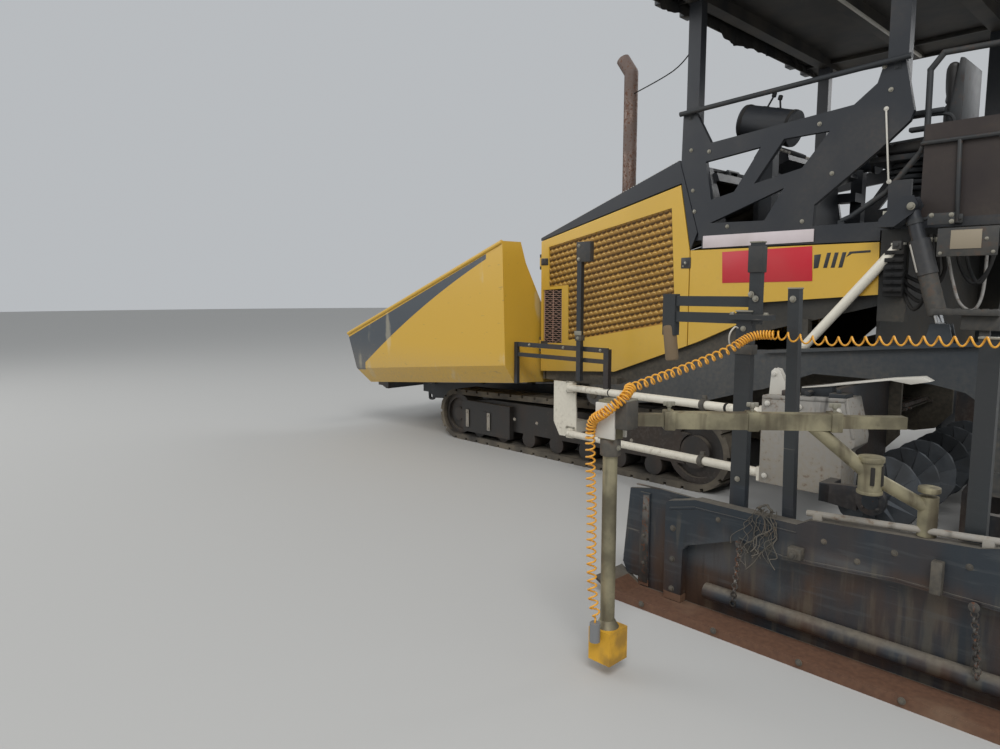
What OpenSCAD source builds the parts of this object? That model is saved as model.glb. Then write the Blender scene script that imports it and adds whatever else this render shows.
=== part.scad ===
// Tracked asphalt paver: hopper with folding wings, slat conveyors, engine cowl, operator platform
// under a roof, augers, and a telescoping screed towed on two arms.
// Millimetres. +X is the way it drives, +Y its left side, +Z up. The origin is on the ground,
// in the middle of the whole machine.

/* [Tractor] */
// Half width over the side panels
body_half_w = 1270; // [1200:5:1300]
// Forward end of the engine cowl
cowl_front_x = 880; // [840:5:884]
// Height of the engine cowl at its front edge
cowl_front_z = 2078; // [2000:5:2120]
// Rear end of the engine cowl at its top
cowl_rear_x = -580; // [-620:5:-540]
// Height of the engine cowl at its rear edge
cowl_rear_z = 2600; // [2500:5:2680]
// Thickness of the outer cowl panels
panel_t = 30; // [20:1:34]
// Height of the operator's floor, top face
deck_z = 2035; // [2000:5:2060]
// Rear end of the tractor's side panels
tractor_rear_x = -2080; // [-2120:5:-2040]

/* [Tracks] */
// Width of each track
track_w = 300; // [250:5:320]
// Thickness of a track with its pads
track_t = 55; // [45:1:60]
// Depth of the gaps between the pads
pad_depth = 26; // [15:1:32]
// Number of pads along each track
pads = 44; // [36:1:50]
// Radius of the front idler
idler_r = 215; // [200:5:230]
// Radius of the rear sprocket
sprocket_r = 260; // [240:5:280]
// Centre of the front idler
idler_x = 2110; // [2030:5:2140]
// Centre of the rear sprocket
sprocket_x = -780; // [-860:5:-740]
// Radius of a track roller
roller_r = 85; // [70:1:95]

/* [Hopper] */
// Nose-down pitch of the hopper, degrees
hopper_pitch = 5; // [3:0.5:7]
// Distance of each wing's hinge from the middle
hinge_y = 760; // [740:5:800]
// Height of the hinge at the hopper's rear end
hinge_z = 700; // [680:5:720]
// Half width over the hopper wings
wing_half_w = 1700; // [1650:5:1740]
// Length of a wing along its hinge
wing_l = 2324; // [2200:5:2400]
// Wall of a wing
wing_t = 14; // [10:1:20]
// Radius of the rolled rim
rim_r = 20; // [14:1:26]
// Radius of a hinge pin
pin_r = 20; // [16:1:24]

/* [Augers] */
// Place of the auger shafts along the machine
auger_x = -2400; // [-2430:5:-2370]
// Height of the auger shafts
auger_z = 450; // [420:5:480]
// Radius of the auger flights
flight_r = 205; // [180:5:215]
// Radius of the auger shafts
shaft_r = 45; // [35:1:55]
// Length of one turn of a flight
flight_pitch = 330; // [300:10:400]
// Outer end of each auger
auger_end_y = 2160; // [2100:5:2200]

/* [Screed] */
// Tow point along the machine
tow_x = 100; // [60:5:140]
// Height of the tow point
tow_z = 700; // [680:5:720]
// Half width of the middle screed
screed_half_w = 1275; // [1250:5:1300]
// Front of the middle screed
screed_front_x = -2640; // [-2660:5:-2620]
// Rear of the middle screed
screed_rear_x = -3000; // [-3020:5:-2980]
// Outer end of a screed extension
ext_end_y = 3060; // [3020:5:3080]
// Rear of a screed extension
ext_rear_x = -3400; // [-3420:5:-3380]
// Radius of the extension's guide tube
guide_r = 35; // [28:1:40]
// Forward end of the end gate
gate_front_x = -1510; // [-1560:5:-1480]
// Rear end of the end gate
gate_rear_x = -3560; // [-3600:5:-3500]
// Height of the end gate's top edge at its front
gate_top_z = 580; // [550:5:620]

/* [Hidden] */

yellow = "#d8a628";
anthracite = "#3d444c";
black = "#23262a";
grey_paint = "#8d9092";
rubber_black = "#2b2a29";
steel = "#8a8783";
white_paint = "#dedcd6";
rust_brown = "#6b4a35";
$fn = 48;

fit = 0.3;              // running clearance of a pin or shaft
gap = 6;                // clearance beside a moving panel
plate = 20;             // general plate
track_y0 = body_half_w - track_w;
tunnel_y = 650;         // inner face of the conveyor tunnel's side walls
deck_under_z = 1980;
engine_deck_z = 1030;
sill_t = 25;
side_plate_y = body_half_w - panel_t - sill_t - 10;
lug_r = 30;             // bore of a lashing lug

// Basic solids
module block(x0, x1, y0, y1, z0, z1) translate([x0, y0, z0]) cube([x1 - x0, y1 - y0, z1 - z0]);
module side_view(y0, y1) translate([0, y1, 0]) rotate([90, 0, 0]) linear_extrude(y1 - y0) children();
module end_view(x0, x1) translate([x0, 0, 0]) rotate([90, 0, 90]) linear_extrude(x1 - x0) children();
module both_sides() { children(); mirror([0, 1, 0]) children(); }
module across(x, z, y0, y1, r) translate([x, y0, z]) rotate([-90, 0, 0]) cylinder(r = r, h = y1 - y0);
module rod(p, q, r) {
    d = q - p;
    translate(p) rotate([0, acos(d[2] / norm(d)), atan2(d[1], d[0])]) cylinder(r = r, h = norm(d));
}

// Track: a closed loop round idler and sprocket, walked by its length
idler_c = [idler_x, idler_r + track_t];
sprocket_c = [sprocket_x, sprocket_r + track_t];
loop_d = norm(idler_c - sprocket_c);
loop_tilt = asin((sprocket_r - idler_r) / loop_d);
run_l = sqrt(loop_d * loop_d - pow(sprocket_r - idler_r, 2));
top_normal = 90 - 2 * loop_tilt;
idler_arc = (90 + top_normal) * PI / 180 * idler_r;
sprocket_arc = (270 - top_normal) * PI / 180 * sprocket_r;
loop_l = idler_arc + sprocket_arc + 2 * run_l;
function polar(c, r, a) = [c[0] + r * cos(a), c[1] + r * sin(a)];
function loop_pt(s, off) =
    s < idler_arc ? polar(idler_c, idler_r + off, -90 + s / idler_r * 180 / PI)
    : s < idler_arc + run_l
        ? polar(idler_c, idler_r + off, top_normal)
          + (s - idler_arc) * [cos(top_normal + 90), sin(top_normal + 90)]
    : s < idler_arc + run_l + sprocket_arc
        ? polar(sprocket_c, sprocket_r + off,
                top_normal + (s - idler_arc - run_l) / sprocket_r * 180 / PI)
    : [sprocket_c[0] + s - idler_arc - run_l - sprocket_arc, sprocket_c[1] - sprocket_r - off];
pad_pitch = loop_l / pads;
pad_gap = 0.16;
// each pad as a share of its pitch and whether the point lies on the pad's face
pad_steps = [[0, 0], [pad_gap, 0], [pad_gap, 1], [0.58, 1], [1, 1]];

module track_shape() color(rubber_black)
    side_view(track_y0, body_half_w) difference() {
        polygon([for (i = [0:pads - 1], k = pad_steps)
            loop_pt((i + k[0]) * pad_pitch, k[1] == 1 ? track_t : track_t - pad_depth)]);
        polygon([for (a = [0:36]) polar(idler_c, idler_r, -90 + a * (90 + top_normal) / 36),
                 for (a = [0:36]) polar(sprocket_c, sprocket_r, top_normal + a * (270 - top_normal) / 36)]);
    }
module track_left() track_shape();
module track_right() mirror([0, 1, 0]) track_shape();

frame_in = 40;          // how far the frame stays inside the track's edges
rollers = 7;
module track_frame_shape() color(black) {
    y0 = track_y0 + frame_in;
    y1 = body_half_w - frame_in;
    wheel_gap = 0.7;
    // beam with its ends at the axles
    side_view(y0, y1) difference() {
        polygon([[sprocket_x, 200], [idler_x, 180], [idler_x, 400], [1600, 470], [-300, 500],
                 [sprocket_x, 440]]);
        translate(sprocket_c) circle(r = 150);
        translate(idler_c) circle(r = 110);
    }
    // idler and sprocket
    difference() {
        across(idler_c[0], idler_c[1], y0, y1, idler_r - wheel_gap);
        across(idler_c[0], idler_c[1], y1 - 30, y1 + 1, idler_r - 45);
    }
    across(idler_c[0], idler_c[1], y1 - 31, y1 + 10, 70);
    difference() {
        across(sprocket_c[0], sprocket_c[1], y0, y1, sprocket_r - wheel_gap);
        across(sprocket_c[0], sprocket_c[1], y1 - 30, y1 + 1, sprocket_r - 50);
    }
    across(sprocket_c[0], sprocket_c[1], y1 - 31, y1 + 20, 130);
    // rollers along the ground run
    for (i = [0:rollers - 1])
        across(-380 + i * (idler_x - 320 + 380) / (rollers - 1), track_t + wheel_gap + roller_r, y0, y1,
               roller_r);
    // guard plate in front of the rollers, with two pads
    side_view(y1 - 1, body_half_w + 16)
        polygon([[1280, 110], [1960, 110], [2000, 150], [2000, 420], [1950, 440], [1280, 440]]);
    for (x = [1610, 1900]) block(x, x + 60, body_half_w + 15, body_half_w + 24, 150, 350);
}
module track_frame_left() track_frame_shape();
module track_frame_right() mirror([0, 1, 0]) track_frame_shape();

// Chassis
panel_in = body_half_w - panel_t;       // inner face of the side panels
tow_plate_y = body_half_w + 55;
tow_pin_r = 30;
strut_r = 32;
strut_y = body_half_w + strut_r + 2;
rear_lug_x = -1250;
module chassis_half() {
    // outer side plate under the panels
    side_view(side_plate_y, side_plate_y + sill_t)
        polygon([[cowl_front_x - 40, 760], [cowl_front_x - 40, 1010], [-40, 1060], [-840, 1300],
                 [-840, deck_under_z], [tractor_rear_x, deck_under_z], [tractor_rear_x, 1500],
                 [-1300, 1300], [-1000, 1000], [-700, 840], [-200, 760]]);
    // wall of the conveyor tunnel
    difference() {
        side_view(tunnel_y, tunnel_y + 30)
            polygon([[cowl_front_x - plate, 380], [cowl_front_x - plate, engine_deck_z],
                     [tractor_rear_x, engine_deck_z], [tractor_rear_x, 560], [-1960, 420], [-1800, 380],
                     [rear_lug_x - 80, 380], [rear_lug_x - 60, 290], [rear_lug_x + 60, 290],
                     [rear_lug_x + 80, 380]]);
        across(rear_lug_x, 350, tunnel_y - 1, tunnel_y + 31, lug_r);
    }
    // cross arms that carry the track frame
    for (x = [-300, 520]) block(x, x + 300, tunnel_y + 29, track_y0 + frame_in, 270, 400);
    // tow point: a plate hung outside the sill, with its pin
    block(-60, 240, side_plate_y + sill_t - 1, tow_plate_y, 775, 850);
    side_view(tow_plate_y - 25, tow_plate_y)
        polygon([[-60, 850], [-30, 640], [20, 600], [180, 600], [230, 640], [240, 850]]);
    across(tow_x, tow_z, tow_plate_y - 1, arm_y1 + 10, tow_pin_r);
    // column at the rear corner, up to the platform
    side_view(side_plate_y - plate, body_half_w) polygon([
        [tractor_rear_x, 1400], [-2240, 1400], [-2250, 1500], [-2250, deck_under_z],
        [tractor_rear_x, deck_under_z]]);
    // foot of the strut that comes down from the platform
    block(-1640, -1540, side_plate_y + sill_t - 1, strut_y - strut_r, 1040, 1400);
    block(-1640, -1540, side_plate_y, side_plate_y + sill_t, 1300, 1400);
}
module chassis() color(black) {
    both_sides() chassis_half();
    door_lugs();
    // engine deck and front and rear bulkheads
    block(tractor_rear_x, cowl_front_x - plate, -side_plate_y, side_plate_y, engine_deck_z - plate,
          engine_deck_z);
    difference() {
        block(cowl_front_x - plate, cowl_front_x, -side_plate_y - sill_t, side_plate_y + sill_t, 380,
              cowl_front_z - plate - fit);
        block(cowl_front_x - plate - 1, cowl_front_x + 1, -tunnel_y, tunnel_y, 300, engine_deck_z - plate);
        both_sides() block(cowl_front_x - plate - 1, cowl_front_x + 1, tunnel_y + 30, body_half_w, 300, 760);
    }
    block(tractor_rear_x, tractor_rear_x + plate, -side_plate_y, side_plate_y, engine_deck_z - 1, deck_under_z);
    // floor of the tunnel
    block(-1900, cowl_front_x - plate, -tunnel_y, tunnel_y, 640, 652);
}

// Hopper, built along its pitched hinge line: s runs forward along it, v up from it
module pitched() translate([cowl_front_x + 40, 0, hinge_z]) rotate([0, hopper_pitch, 0]) children();
floor_v = -52;
hopper_l = wing_l - 20;
module hopper_floor() color(black) { hopper_nose(); pitched_floor(); }
module pitched_floor() difference() {
    pitched() {
        block(-60, hopper_l, -720, 720, floor_v, floor_v + 12);
        both_sides() {
            block(-60, hopper_l, 690, 720, -230, floor_v + 1);
            // lugs that hold the hinge pin
            for (s = [20, 560, 1340, 2210]) difference() {
                union() {
                    translate([s, hinge_y, 0]) rotate([0, 90, 0]) cylinder(r = 32, h = 60);
                    block(s, s + 60, 700, hinge_y, floor_v, 0);
                }
            }
            translate([10, hinge_y, 0]) rotate([0, 90, 0]) cylinder(r = pin_r, h = hopper_l - 30);
        }
        for (s = [300, 1200, 2100]) block(s, s + 60, -700, 700, -180, floor_v + 1);
    }
    block(cowl_front_x - 400, cowl_front_x, -900, 900, 0, 1500);
}
module hopper_nose() {
    block(3150, 3330, -691, 691, 330, 440);
    // lashing lugs
    both_sides() difference() {
        side_view(660, 690)
            polygon([[3210, 331], [3230, 250], [3255, 235], [3305, 235], [3325, 250], [3330, 331]]);
        across(3280, 285, 659, 691, lug_r);
    }
}

// Slat conveyors: two endless bands over the floor, with cross slats on chains
slat_pitch = 230;
conv_front = 2240;      // along the pitched floor
module conveyor_lane(y0, y1) {
    // top run on the pitched floor and on the tunnel floor
    for (y = [y0, y1 - 30]) {
        difference() {
            pitched() block(-60, conv_front, y, y + 30, floor_v + 12, floor_v + 24);
            block(cowl_front_x - 500, cowl_front_x - 6, -900, 900, 0, 1500);
        }
        block(-1940, cowl_front_x, y + 3, y + 27, 652, 668);
    }
    for (s = [30:slat_pitch:conv_front]) pitched() block(s, s + 40, y0 - 5, y1 + 5, floor_v + 20, floor_v + 50);
    for (x = [-1900:slat_pitch:cowl_front_x - 80]) block(x, x + 40, y0 - 5, y1 + 5, 662, 692);
}
module slat_conveyor() color(steel) {
    conveyor_lane(40, tunnel_y - 20);
    conveyor_lane(-tunnel_y + 20, -40);
}

// Push beam and its rollers
beam_x = 3560;
roller_z = 480;
push_r = 85;
push_x = 3750 - push_r;
module push_beam() color(black) {
    block(3330, 3430, -690, 690, 330, 470);
    block(3430, 3500, -150, 150, 350, 450);
    block(3500, beam_x, -1180, 1180, 400, 560);
    for (y = [-1180, -30, 1120]) block(beam_x - 1, push_x + 40, y, y + 60, 430, 530);
    for (s = [-1, 1]) across(push_x, roller_z, s > 0 ? 20 : -1130, s > 0 ? 1130 : -20, 22);
}
module push_roller(y0, y1) color(steel) difference() {
    across(push_x, roller_z, y0, y1, push_r);
    across(push_x, roller_z, y0 - 1, y1 + 1, 22 + fit);
}
module push_roller_left() push_roller(40, 1110);
module push_roller_right() push_roller(-1110, -40);

// Wings
wing_side = [[-19, -40], [-19, 219], [-77, 1338], [2585, 628], [2450, 224], [wing_l, 40], [wing_l, -40]];
corner_y = wing_half_w - 100;
corner_v = 53;
fold_v = 219;
floor_y = hinge_y + 44;
module wing_shape() color(yellow) pitched() {
    intersection() {
        union() {
            // floor, chamfer and side as one folded sheet
            end_view(-80, 2600) polygon([
                [floor_y, 0], [corner_y, corner_v - 6], [wing_half_w, fold_v - 4], [wing_half_w, 1400],
                [wing_half_w - wing_t, 1400], [wing_half_w - wing_t, fold_v],
                [corner_y - 6, corner_v + wing_t - 5], [floor_y, wing_t]]);
            // rear wall
            intersection() {
                end_view(-80, 100) polygon([
                    [floor_y, 1], [corner_y, corner_v - 4], [wing_half_w - 1, fold_v - 3],
                    [wing_half_w - 1, 1400], [1480, 1400], [1400, 1150], [floor_y, 60]]);
                side_view(hinge_y, wing_half_w)
                    polygon([[-19, -40], [-19, 219], [-77, 1338], [-63, 1338], [-5, 219], [-5, -40]]);
            }
        }
        side_view(hinge_y, wing_half_w + 1) polygon(wing_side);
    }
    // rolled rim along the top edge
    rod([-70, wing_half_w - 2, 1330], [2580, wing_half_w - 2, 622], rim_r);
    // hinge knuckles round the pin
    for (s = [100, 700, 1480, 2050]) difference() {
        union() {
            translate([s, hinge_y, 0]) rotate([0, 90, 0]) cylinder(r = 32, h = 140);
            block(s, s + 140, hinge_y, floor_y + 2, 0, wing_t);
        }
        translate([s - 1, hinge_y, 0]) rotate([0, 90, 0]) cylinder(r = pin_r + fit, h = 142);
    }
}
module wing_left() wing_shape();
module wing_right() mirror([0, 1, 0]) wing_shape();

// Engine doors and grilles
door_outline = [
    [cowl_front_x - 4, 838], [10, 900], [-690, 1162], [-690, 1905], [-596, 2411], [cowl_front_x - 4, 2048]];
grille_outline = [[782, 1994], [-520, 2243], [-578, 1346], [217, 1198], [540, 1147], [547, 1645], [778, 1628]];
mesh_outline = [[615, 1116], [845, 1102], [850, 1600], [620, 1612]];
slope = 10.9;           // the louvres drop toward the front
door_y = panel_in + gap;
door_axis_x = cowl_front_x + 12;
door_axis_y = body_half_w - 12;
knuckle_r = 11;
door_pin_r = 6;
module door_shape() color(yellow) side_view(door_y, body_half_w) difference() {
    polygon(door_outline);
    polygon(grille_outline);
    polygon(mesh_outline);
}
// heights of the door's hinge knuckles
door_knuckles = [1050, 1820];
module door_knuckle(z, h, r) translate([door_axis_x, door_axis_y, z]) cylinder(r = r, h = h);
module hinged_door() color(yellow) {
    door_shape();
    for (z = door_knuckles) difference() {
        union() {
            door_knuckle(z, 80, knuckle_r);
            block(cowl_front_x - 6, door_axis_x, door_axis_y - 6, door_axis_y + 6, z, z + 80);
        }
        door_knuckle(z - 1, 82, door_pin_r + fit);
    }
}
module engine_door_left() hinged_door();
module engine_door_right() mirror([0, 1, 0]) hinged_door();
// pins and lugs that carry both doors, on the front bulkhead
module door_lugs() color(black) both_sides() for (z = door_knuckles) {
    door_knuckle(z - 30, 140, door_pin_r);
    for (h = [z - 30, z + 81]) {
        door_knuckle(h, 29, knuckle_r);
        block(cowl_front_x - 1, door_axis_x, side_plate_y, door_axis_y, h, h + 29);
    }
}

louvre_pitch = 62;
louvre_rows = 19;
module louvres() intersection() {
    side_view(door_y, body_half_w) polygon(grille_outline);
    union() {
        for (i = [0:louvre_rows - 1])
            translate([800, 0, 940 + i * louvre_pitch]) rotate([0, slope, 0])
                rotate([0, -90, 0]) linear_extrude(1500)
                    polygon([[0, door_y], [30, body_half_w], [36, body_half_w], [6, door_y]]);
        for (x = [-560, -130, 300, 745]) block(x, x + 14, door_y, door_y + 10, 1000, 2300);
    }
}
module mesh_panel() difference() {
    side_view(door_y + 6, door_y + 12) polygon(mesh_outline);
    for (i = [0:5], k = [0:11])
        block(632 + i * 35, 654 + i * 35, door_y, door_y + 20, 1135 + k * 38, 1160 + k * 38);
}
module grille_shape() color("#b98b2e") { louvres(); mesh_panel(); }
module grille_left() grille_shape();
module grille_right() mirror([0, 1, 0]) grille_shape();

// Cowl: black shoulders with side skirts, and the lid between them
cowl_pitch = atan((cowl_rear_z - cowl_front_z) / (cowl_front_x - cowl_rear_x));
lid_half_w = 760;
function cowl_top(x) = cowl_front_z + (cowl_front_x - x) * tan(cowl_pitch);
module cowl_shoulders() color(black) both_sides() {
    // skirt above the door and down behind it
    side_view(door_y, body_half_w) polygon([
        [cowl_front_x, cowl_front_z - 22], [cowl_front_x, cowl_front_z], [cowl_rear_x, cowl_rear_z],
        [-752, 2040], [-697, 1911], [-602, 2425]]);
    // top sheet
    side_view(lid_half_w + gap, door_y + 1) polygon([
        [cowl_front_x, cowl_front_z - plate], [cowl_front_x, cowl_front_z],
        [cowl_rear_x, cowl_rear_z], [cowl_rear_x, cowl_rear_z - plate]]);
    // rear wall, standing on the operator's floor
    side_view(lid_half_w + gap, door_y - 7) polygon([
        [cowl_rear_x, cowl_rear_z - 1], [cowl_rear_x + plate, cowl_rear_z - plate],
        [-732, deck_z], [-752, deck_z]]);
    // front flange behind the bulkhead
    block(cowl_front_x - 2 * plate, cowl_front_x - plate, lid_half_w + gap, door_y - 7, 1900,
          cowl_front_z - plate + 10);
    // cross member behind the lid, with the pins of its hinge
    side_view(0, lid_half_w + gap + 1) polygon([
        [cowl_rear_x - 62, lid_axis_z - 100], [cowl_rear_x - 2, lid_axis_z - 100],
        [cowl_rear_x - 2, lid_axis_z - 32], [cowl_rear_x - 38, lid_axis_z - 32]]);
    across(lid_axis_x, lid_axis_z, 380, 560, lid_pin_r);
    for (y = [380, 521]) {
        across(lid_axis_x, lid_axis_z, y, y + 39, lid_knuckle_r);
        block(lid_axis_x - lid_knuckle_r, lid_axis_x + lid_knuckle_r, y, y + 39, lid_axis_z - 60, lid_axis_z);
    }
}
lid_axis_x = cowl_rear_x - 17;
lid_axis_z = cowl_rear_z - 8;
lid_knuckle_r = 15;
lid_pin_r = 9;
module hood_lid() color(black) {
    side_view(-lid_half_w, lid_half_w) polygon([
        [cowl_front_x, cowl_front_z - plate], [cowl_front_x, cowl_front_z],
        [cowl_rear_x, cowl_rear_z], [cowl_rear_x, cowl_rear_z - plate]]);
    both_sides() difference() {
        union() {
            across(lid_axis_x, lid_axis_z, 420, 520, lid_knuckle_r);
            block(lid_axis_x, cowl_rear_x + 4, 420, 520, lid_axis_z - 7, lid_axis_z + 7);
        }
        across(lid_axis_x, lid_axis_z, 419, 521, lid_pin_r + fit);
    }
}

module engine_block() color("#5a5d60") block(-250, 700, -380, 380, engine_deck_z, 1900);

exhaust_x = 165;
exhaust_y = body_half_w - 370;
exhaust_r = 60;
module exhaust_pipe() color("#8b7468") {
    top = 3480;
    difference() {
        translate([exhaust_x, exhaust_y, cowl_front_z]) cylinder(r = exhaust_r, h = top - cowl_front_z);
        // foot cut to the slope of the cowl
        side_view(exhaust_y - 90, exhaust_y + 90) polygon([
            [exhaust_x - 90, 0], [exhaust_x + 90, 0], [exhaust_x + 90, cowl_top(exhaust_x + 90)],
            [exhaust_x - 90, cowl_top(exhaust_x - 90)]]);
    }
    translate([exhaust_x, exhaust_y, top]) sphere(r = exhaust_r);
    rod([exhaust_x, exhaust_y, top], [exhaust_x + 90, exhaust_y, top + 130], exhaust_r);
}

// Operator's platform
deck_rear_x = -2750;
module operator_floor() color(black) {
    floor_y1 = body_half_w - 5;
    block(deck_rear_x, -760, -floor_y1, floor_y1, deck_under_z, deck_z);
    block(-761, -722, -door_y, door_y, deck_under_z, deck_z);
    // brackets that hold the lift cylinders
    both_sides() {
        block(-2150, -2110, floor_y1 - 1, lift_y + 60, deck_under_z + 5, deck_z);
        for (y = [lift_y - 60, lift_y + 48]) side_view(y, y + 12) polygon([
            [-2110, 1985], [-2110, 2035], [-2240, 2165], [-2300, 2165], [-2325, 2110], [-2300, 2060],
            [-2200, 1985]]);
        across(lift_top[0], lift_top[1], lift_y - 60, lift_y + 60, lift_pin_r);
    }
    both_sides() {
        block(-2070, -790, panel_in, floor_y1, 1915, deck_under_z + 1);
        block(-2234, -2100, panel_in - 2, floor_y1 - 3, deck_z - 1, 2285);
    }
}
wedge = [[-700, 1166], [-790, 1200], [-1170, 1370], [-1280, 1510], [-2080, 1570], [-2070, 1905], [-700, 1905]];
module rear_panels() color(yellow) both_sides()
    side_view(side_plate_y + sill_t, body_half_w) polygon(wedge);

frame_y1 = body_half_w - 5;
frame_y0 = frame_y1 - 40;
module side_frames() color(black) both_sides() side_view(frame_y0, frame_y1) difference() {
    polygon([[-757, deck_z], [-592, 2570], [-600, 2945], [-706, 2945], [-842, 2698], [-1864, 2793], [-2000, 2900],
             [-2036, 3020], [-2159, 3008], [-2222, 2700], [-2203, 2640], [-2033, 2486], [-1638, 2176],
             [-1632, deck_z]]);
    polygon([[-805, 2564], [-1240, 2614], [-1044, 2319], [-858, 2277]]);
    polygon([[-1406, 2645], [-1719, 2652], [-1543, 2432], [-1198, 2361]]);
    polygon([[-856, 2105], [-1422, 2310], [-1286, 2095]]);
}
roof_z = 3765;
module roof_posts() color(black) both_sides() {
    block(-706, -600, frame_y0 - 80, frame_y0, 2570, roof_z);
    block(-2160, -2040, frame_y0 - 80, frame_y0, 2640, roof_z);
}
roof_front = -440;
roof_rear = -2760;
module roof() color(black) {
    end_view(roof_rear, roof_front) polygon([
        [-1500, roof_z], [1500, roof_z], [1500, roof_z + 40], [900, roof_z + 110], [-900, roof_z + 110],
        [-1500, roof_z + 40]]);
}
module console() color(black) {
    side_view(-700, 700) polygon([
        [-920, deck_z], [-900, 2650], [-960, 2740], [-1180, 2640], [-1190, 2600], [-1020, 2540], [-1060, deck_z]]);
    // round pods with the controls of each side
    both_sides() {
        rod([-920, 900, 2890], [-1320, 900, 2780], 130);
        block(-1180, -1080, 850, 950, deck_z, 2760);
        block(-1180, -1000, 699, 851, 2400, 2480);
    }
}
seat_x = -2130;
module seats() color(black) for (y = [-850, 850]) translate([seat_x, y, deck_z]) {
    cylinder(r = 70, h = 400);
    block(-230, 230, -230, 230, 400, 520);
    block(-300, -200, -230, 230, 400, 1000);
}
module rear_screens() color("#4a3328") both_sides()
    block(deck_rear_x, -2290, panel_in - 4, frame_y1 - 3, deck_z, 2600);
rail_y = frame_y1 + 30;
rail_r = 18;
stair_rail_y = frame_y1 - 65;
// bent grab rail beside the steps, as X and Z of its bends
stair_rail = [[-2700, 3010], [-2350, 3021], [-2280, 2935], [-2284, 2529], [-2257, 2452], [-2071, 2226],
              [-1860, 2085], [-1800, deck_z + 26]];
module handrails() color(black) {
    both_sides() {
        rod([-589, rail_y, 2940], [-2197, rail_y, 3019], rail_r);
        for (p = [[-680, 2943], [-2130, 3010]]) block(p[0], p[0] + 30, frame_y1, rail_y, p[1] - 15, p[1] + 15);
        for (i = [0:len(stair_rail) - 2])
            rod([stair_rail[i][0], stair_rail_y, stair_rail[i][1]],
                [stair_rail[i + 1][0], stair_rail_y, stair_rail[i + 1][1]], rail_r);
        for (i = [0:len(stair_rail) - 2])
            translate([stair_rail[i][0], stair_rail_y, stair_rail[i][1]]) sphere(r = rail_r + 1);
        block(-1820, -1780, stair_rail_y - 15, stair_rail_y + 15, deck_z, deck_z + 30);
        rod([-2700, stair_rail_y, deck_z], [-2700, stair_rail_y, 3010], rail_r);
        rod([-2700, stair_rail_y, 2529], [-2284, stair_rail_y, 2529], rail_r - 3);
        rod([-2440, stair_rail_y, deck_z], [-2440, stair_rail_y, 2529], rail_r - 3);
        // rear rails on each side of the ladder
        for (z = [2300, 2600]) rod([-2700, 380, z], [-2700, stair_rail_y, z], rail_r - 3);
        rod([-2700, 380, deck_z], [-2700, 380, 2610], rail_r);
    }
}
ladder_x = deck_rear_x;
module ladder() color(black) {
    for (y = [-300, 300]) block(ladder_x - 50, ladder_x, y - 20, y + 20, 1150, 2500);
    for (z = [1200:250:1950]) block(ladder_x - 50, ladder_x - 10, -300, 300, z, z + 30);
}

// Augers with their hanger and end bearings
module auger_hanger() color(black) {
    block(auger_x - 110, auger_x + 110, -120, 120, auger_z - 130, 900);
    block(auger_x - 60, tractor_rear_x, -120, 120, 899, engine_deck_z);
}
flight_thick = 12;      // as degrees of a turn
module auger_shape() color(steel) {
    across(auger_x, auger_z, 120 + fit, auger_end_y, shaft_r);
    translate([auger_x, 140, auger_z]) rotate([-90, 0, 0])
        linear_extrude(auger_end_y - 200, twist = 360 * (auger_end_y - 200) / flight_pitch, segments = 5,
                       slices = 14 * floor((auger_end_y - 200) / flight_pitch))
            polygon([for (p = [[shaft_r - 8, 0], [flight_r, 0], [flight_r, flight_thick / 2],
                               [flight_r, flight_thick], [shaft_r - 8, flight_thick]])
                     [p[0] * cos(p[1]), p[0] * sin(p[1])]]);
}
module auger_left() auger_shape();
module auger_right() mirror([0, 1, 0]) auger_shape();

module tunnel_shape() color(grey_paint) {
    // front wall of the auger channel
    block(-2000, -1960, tunnel_y + 30, 2000, 380, 980);
    block(-2180, -1680, 1780, 2000, 390, 950);
    // end bearing arm
    difference() {
        block(auger_x - 70, auger_x + 70, auger_end_y - 42, auger_end_y - 2, auger_z - 70, 980);
        across(auger_x, auger_z, auger_end_y - 43, auger_end_y, shaft_r + fit);
    }
    block(auger_x - 70, -1961, 1940, auger_end_y - 2, 920, 980);
}
module tunnel_left() tunnel_shape();
module tunnel_right() mirror([0, 1, 0]) tunnel_shape();

brace_r = 30;
brace_plate_y = body_half_w + 160;
function brace_from(k) = [330, brace_plate_y + 55, k == 0 ? 750 : 340];
function brace_to(k) = [-1670, 1950, k == 0 ? 830 : 440];
function brace_at(x, k) = brace_from(k)
    + (brace_to(k) - brace_from(k)) * (brace_from(k)[0] - x) / (brace_from(k)[0] - brace_to(k)[0]);
// White tubes that brace the auger channel to the track frame, with their bracket
module brace_shape() color(white_paint) {
    side_view(brace_plate_y, brace_plate_y + 15)
        polygon([[280, 300], [480, 300], [550, 420], [550, 790], [300, 790]]);
    // arm out to the plate, from the track frame through the track
    block(330, 470, body_half_w - frame_in, brace_plate_y + 1, 330, 430);
    for (k = [0, 1]) {
        rod(brace_from(k), brace_to(k), brace_r);
        translate(brace_from(k)) block(-35, 35, -45, 0, -40, 40);
        translate(brace_to(k)) block(-10, 10, -45, 40, -45, 45);
    }
    // strut from the platform down to the chassis
    rod([-2190, strut_y, 1870], [-1600, strut_y, 1171], strut_r);
    block(-2230, -2150, body_half_w, strut_y, 1830, 1895);
    block(-1640, -1560, strut_y - strut_r, strut_y, 1100, 1200);
}
module brace_left() brace_shape();
module brace_right() mirror([0, 1, 0]) brace_shape();

module sensor_bars() color(black) {
    foot = brace_at(-165, 0);
    y = foot[1];
    block(-170, 888, y - 12, y + 12, 1090, 1130);
    block(-150, 888, y - 12, y + 12, 1000, 1035);
    block(850, 888, y - 16, y + 16, 748, 1130);
    block(80, 125, y + 11, y + 50, 843, 1987);
    block(-190, -140, y - 22, y + 22, foot[2] + brace_r + 1, 1121);
}

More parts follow.
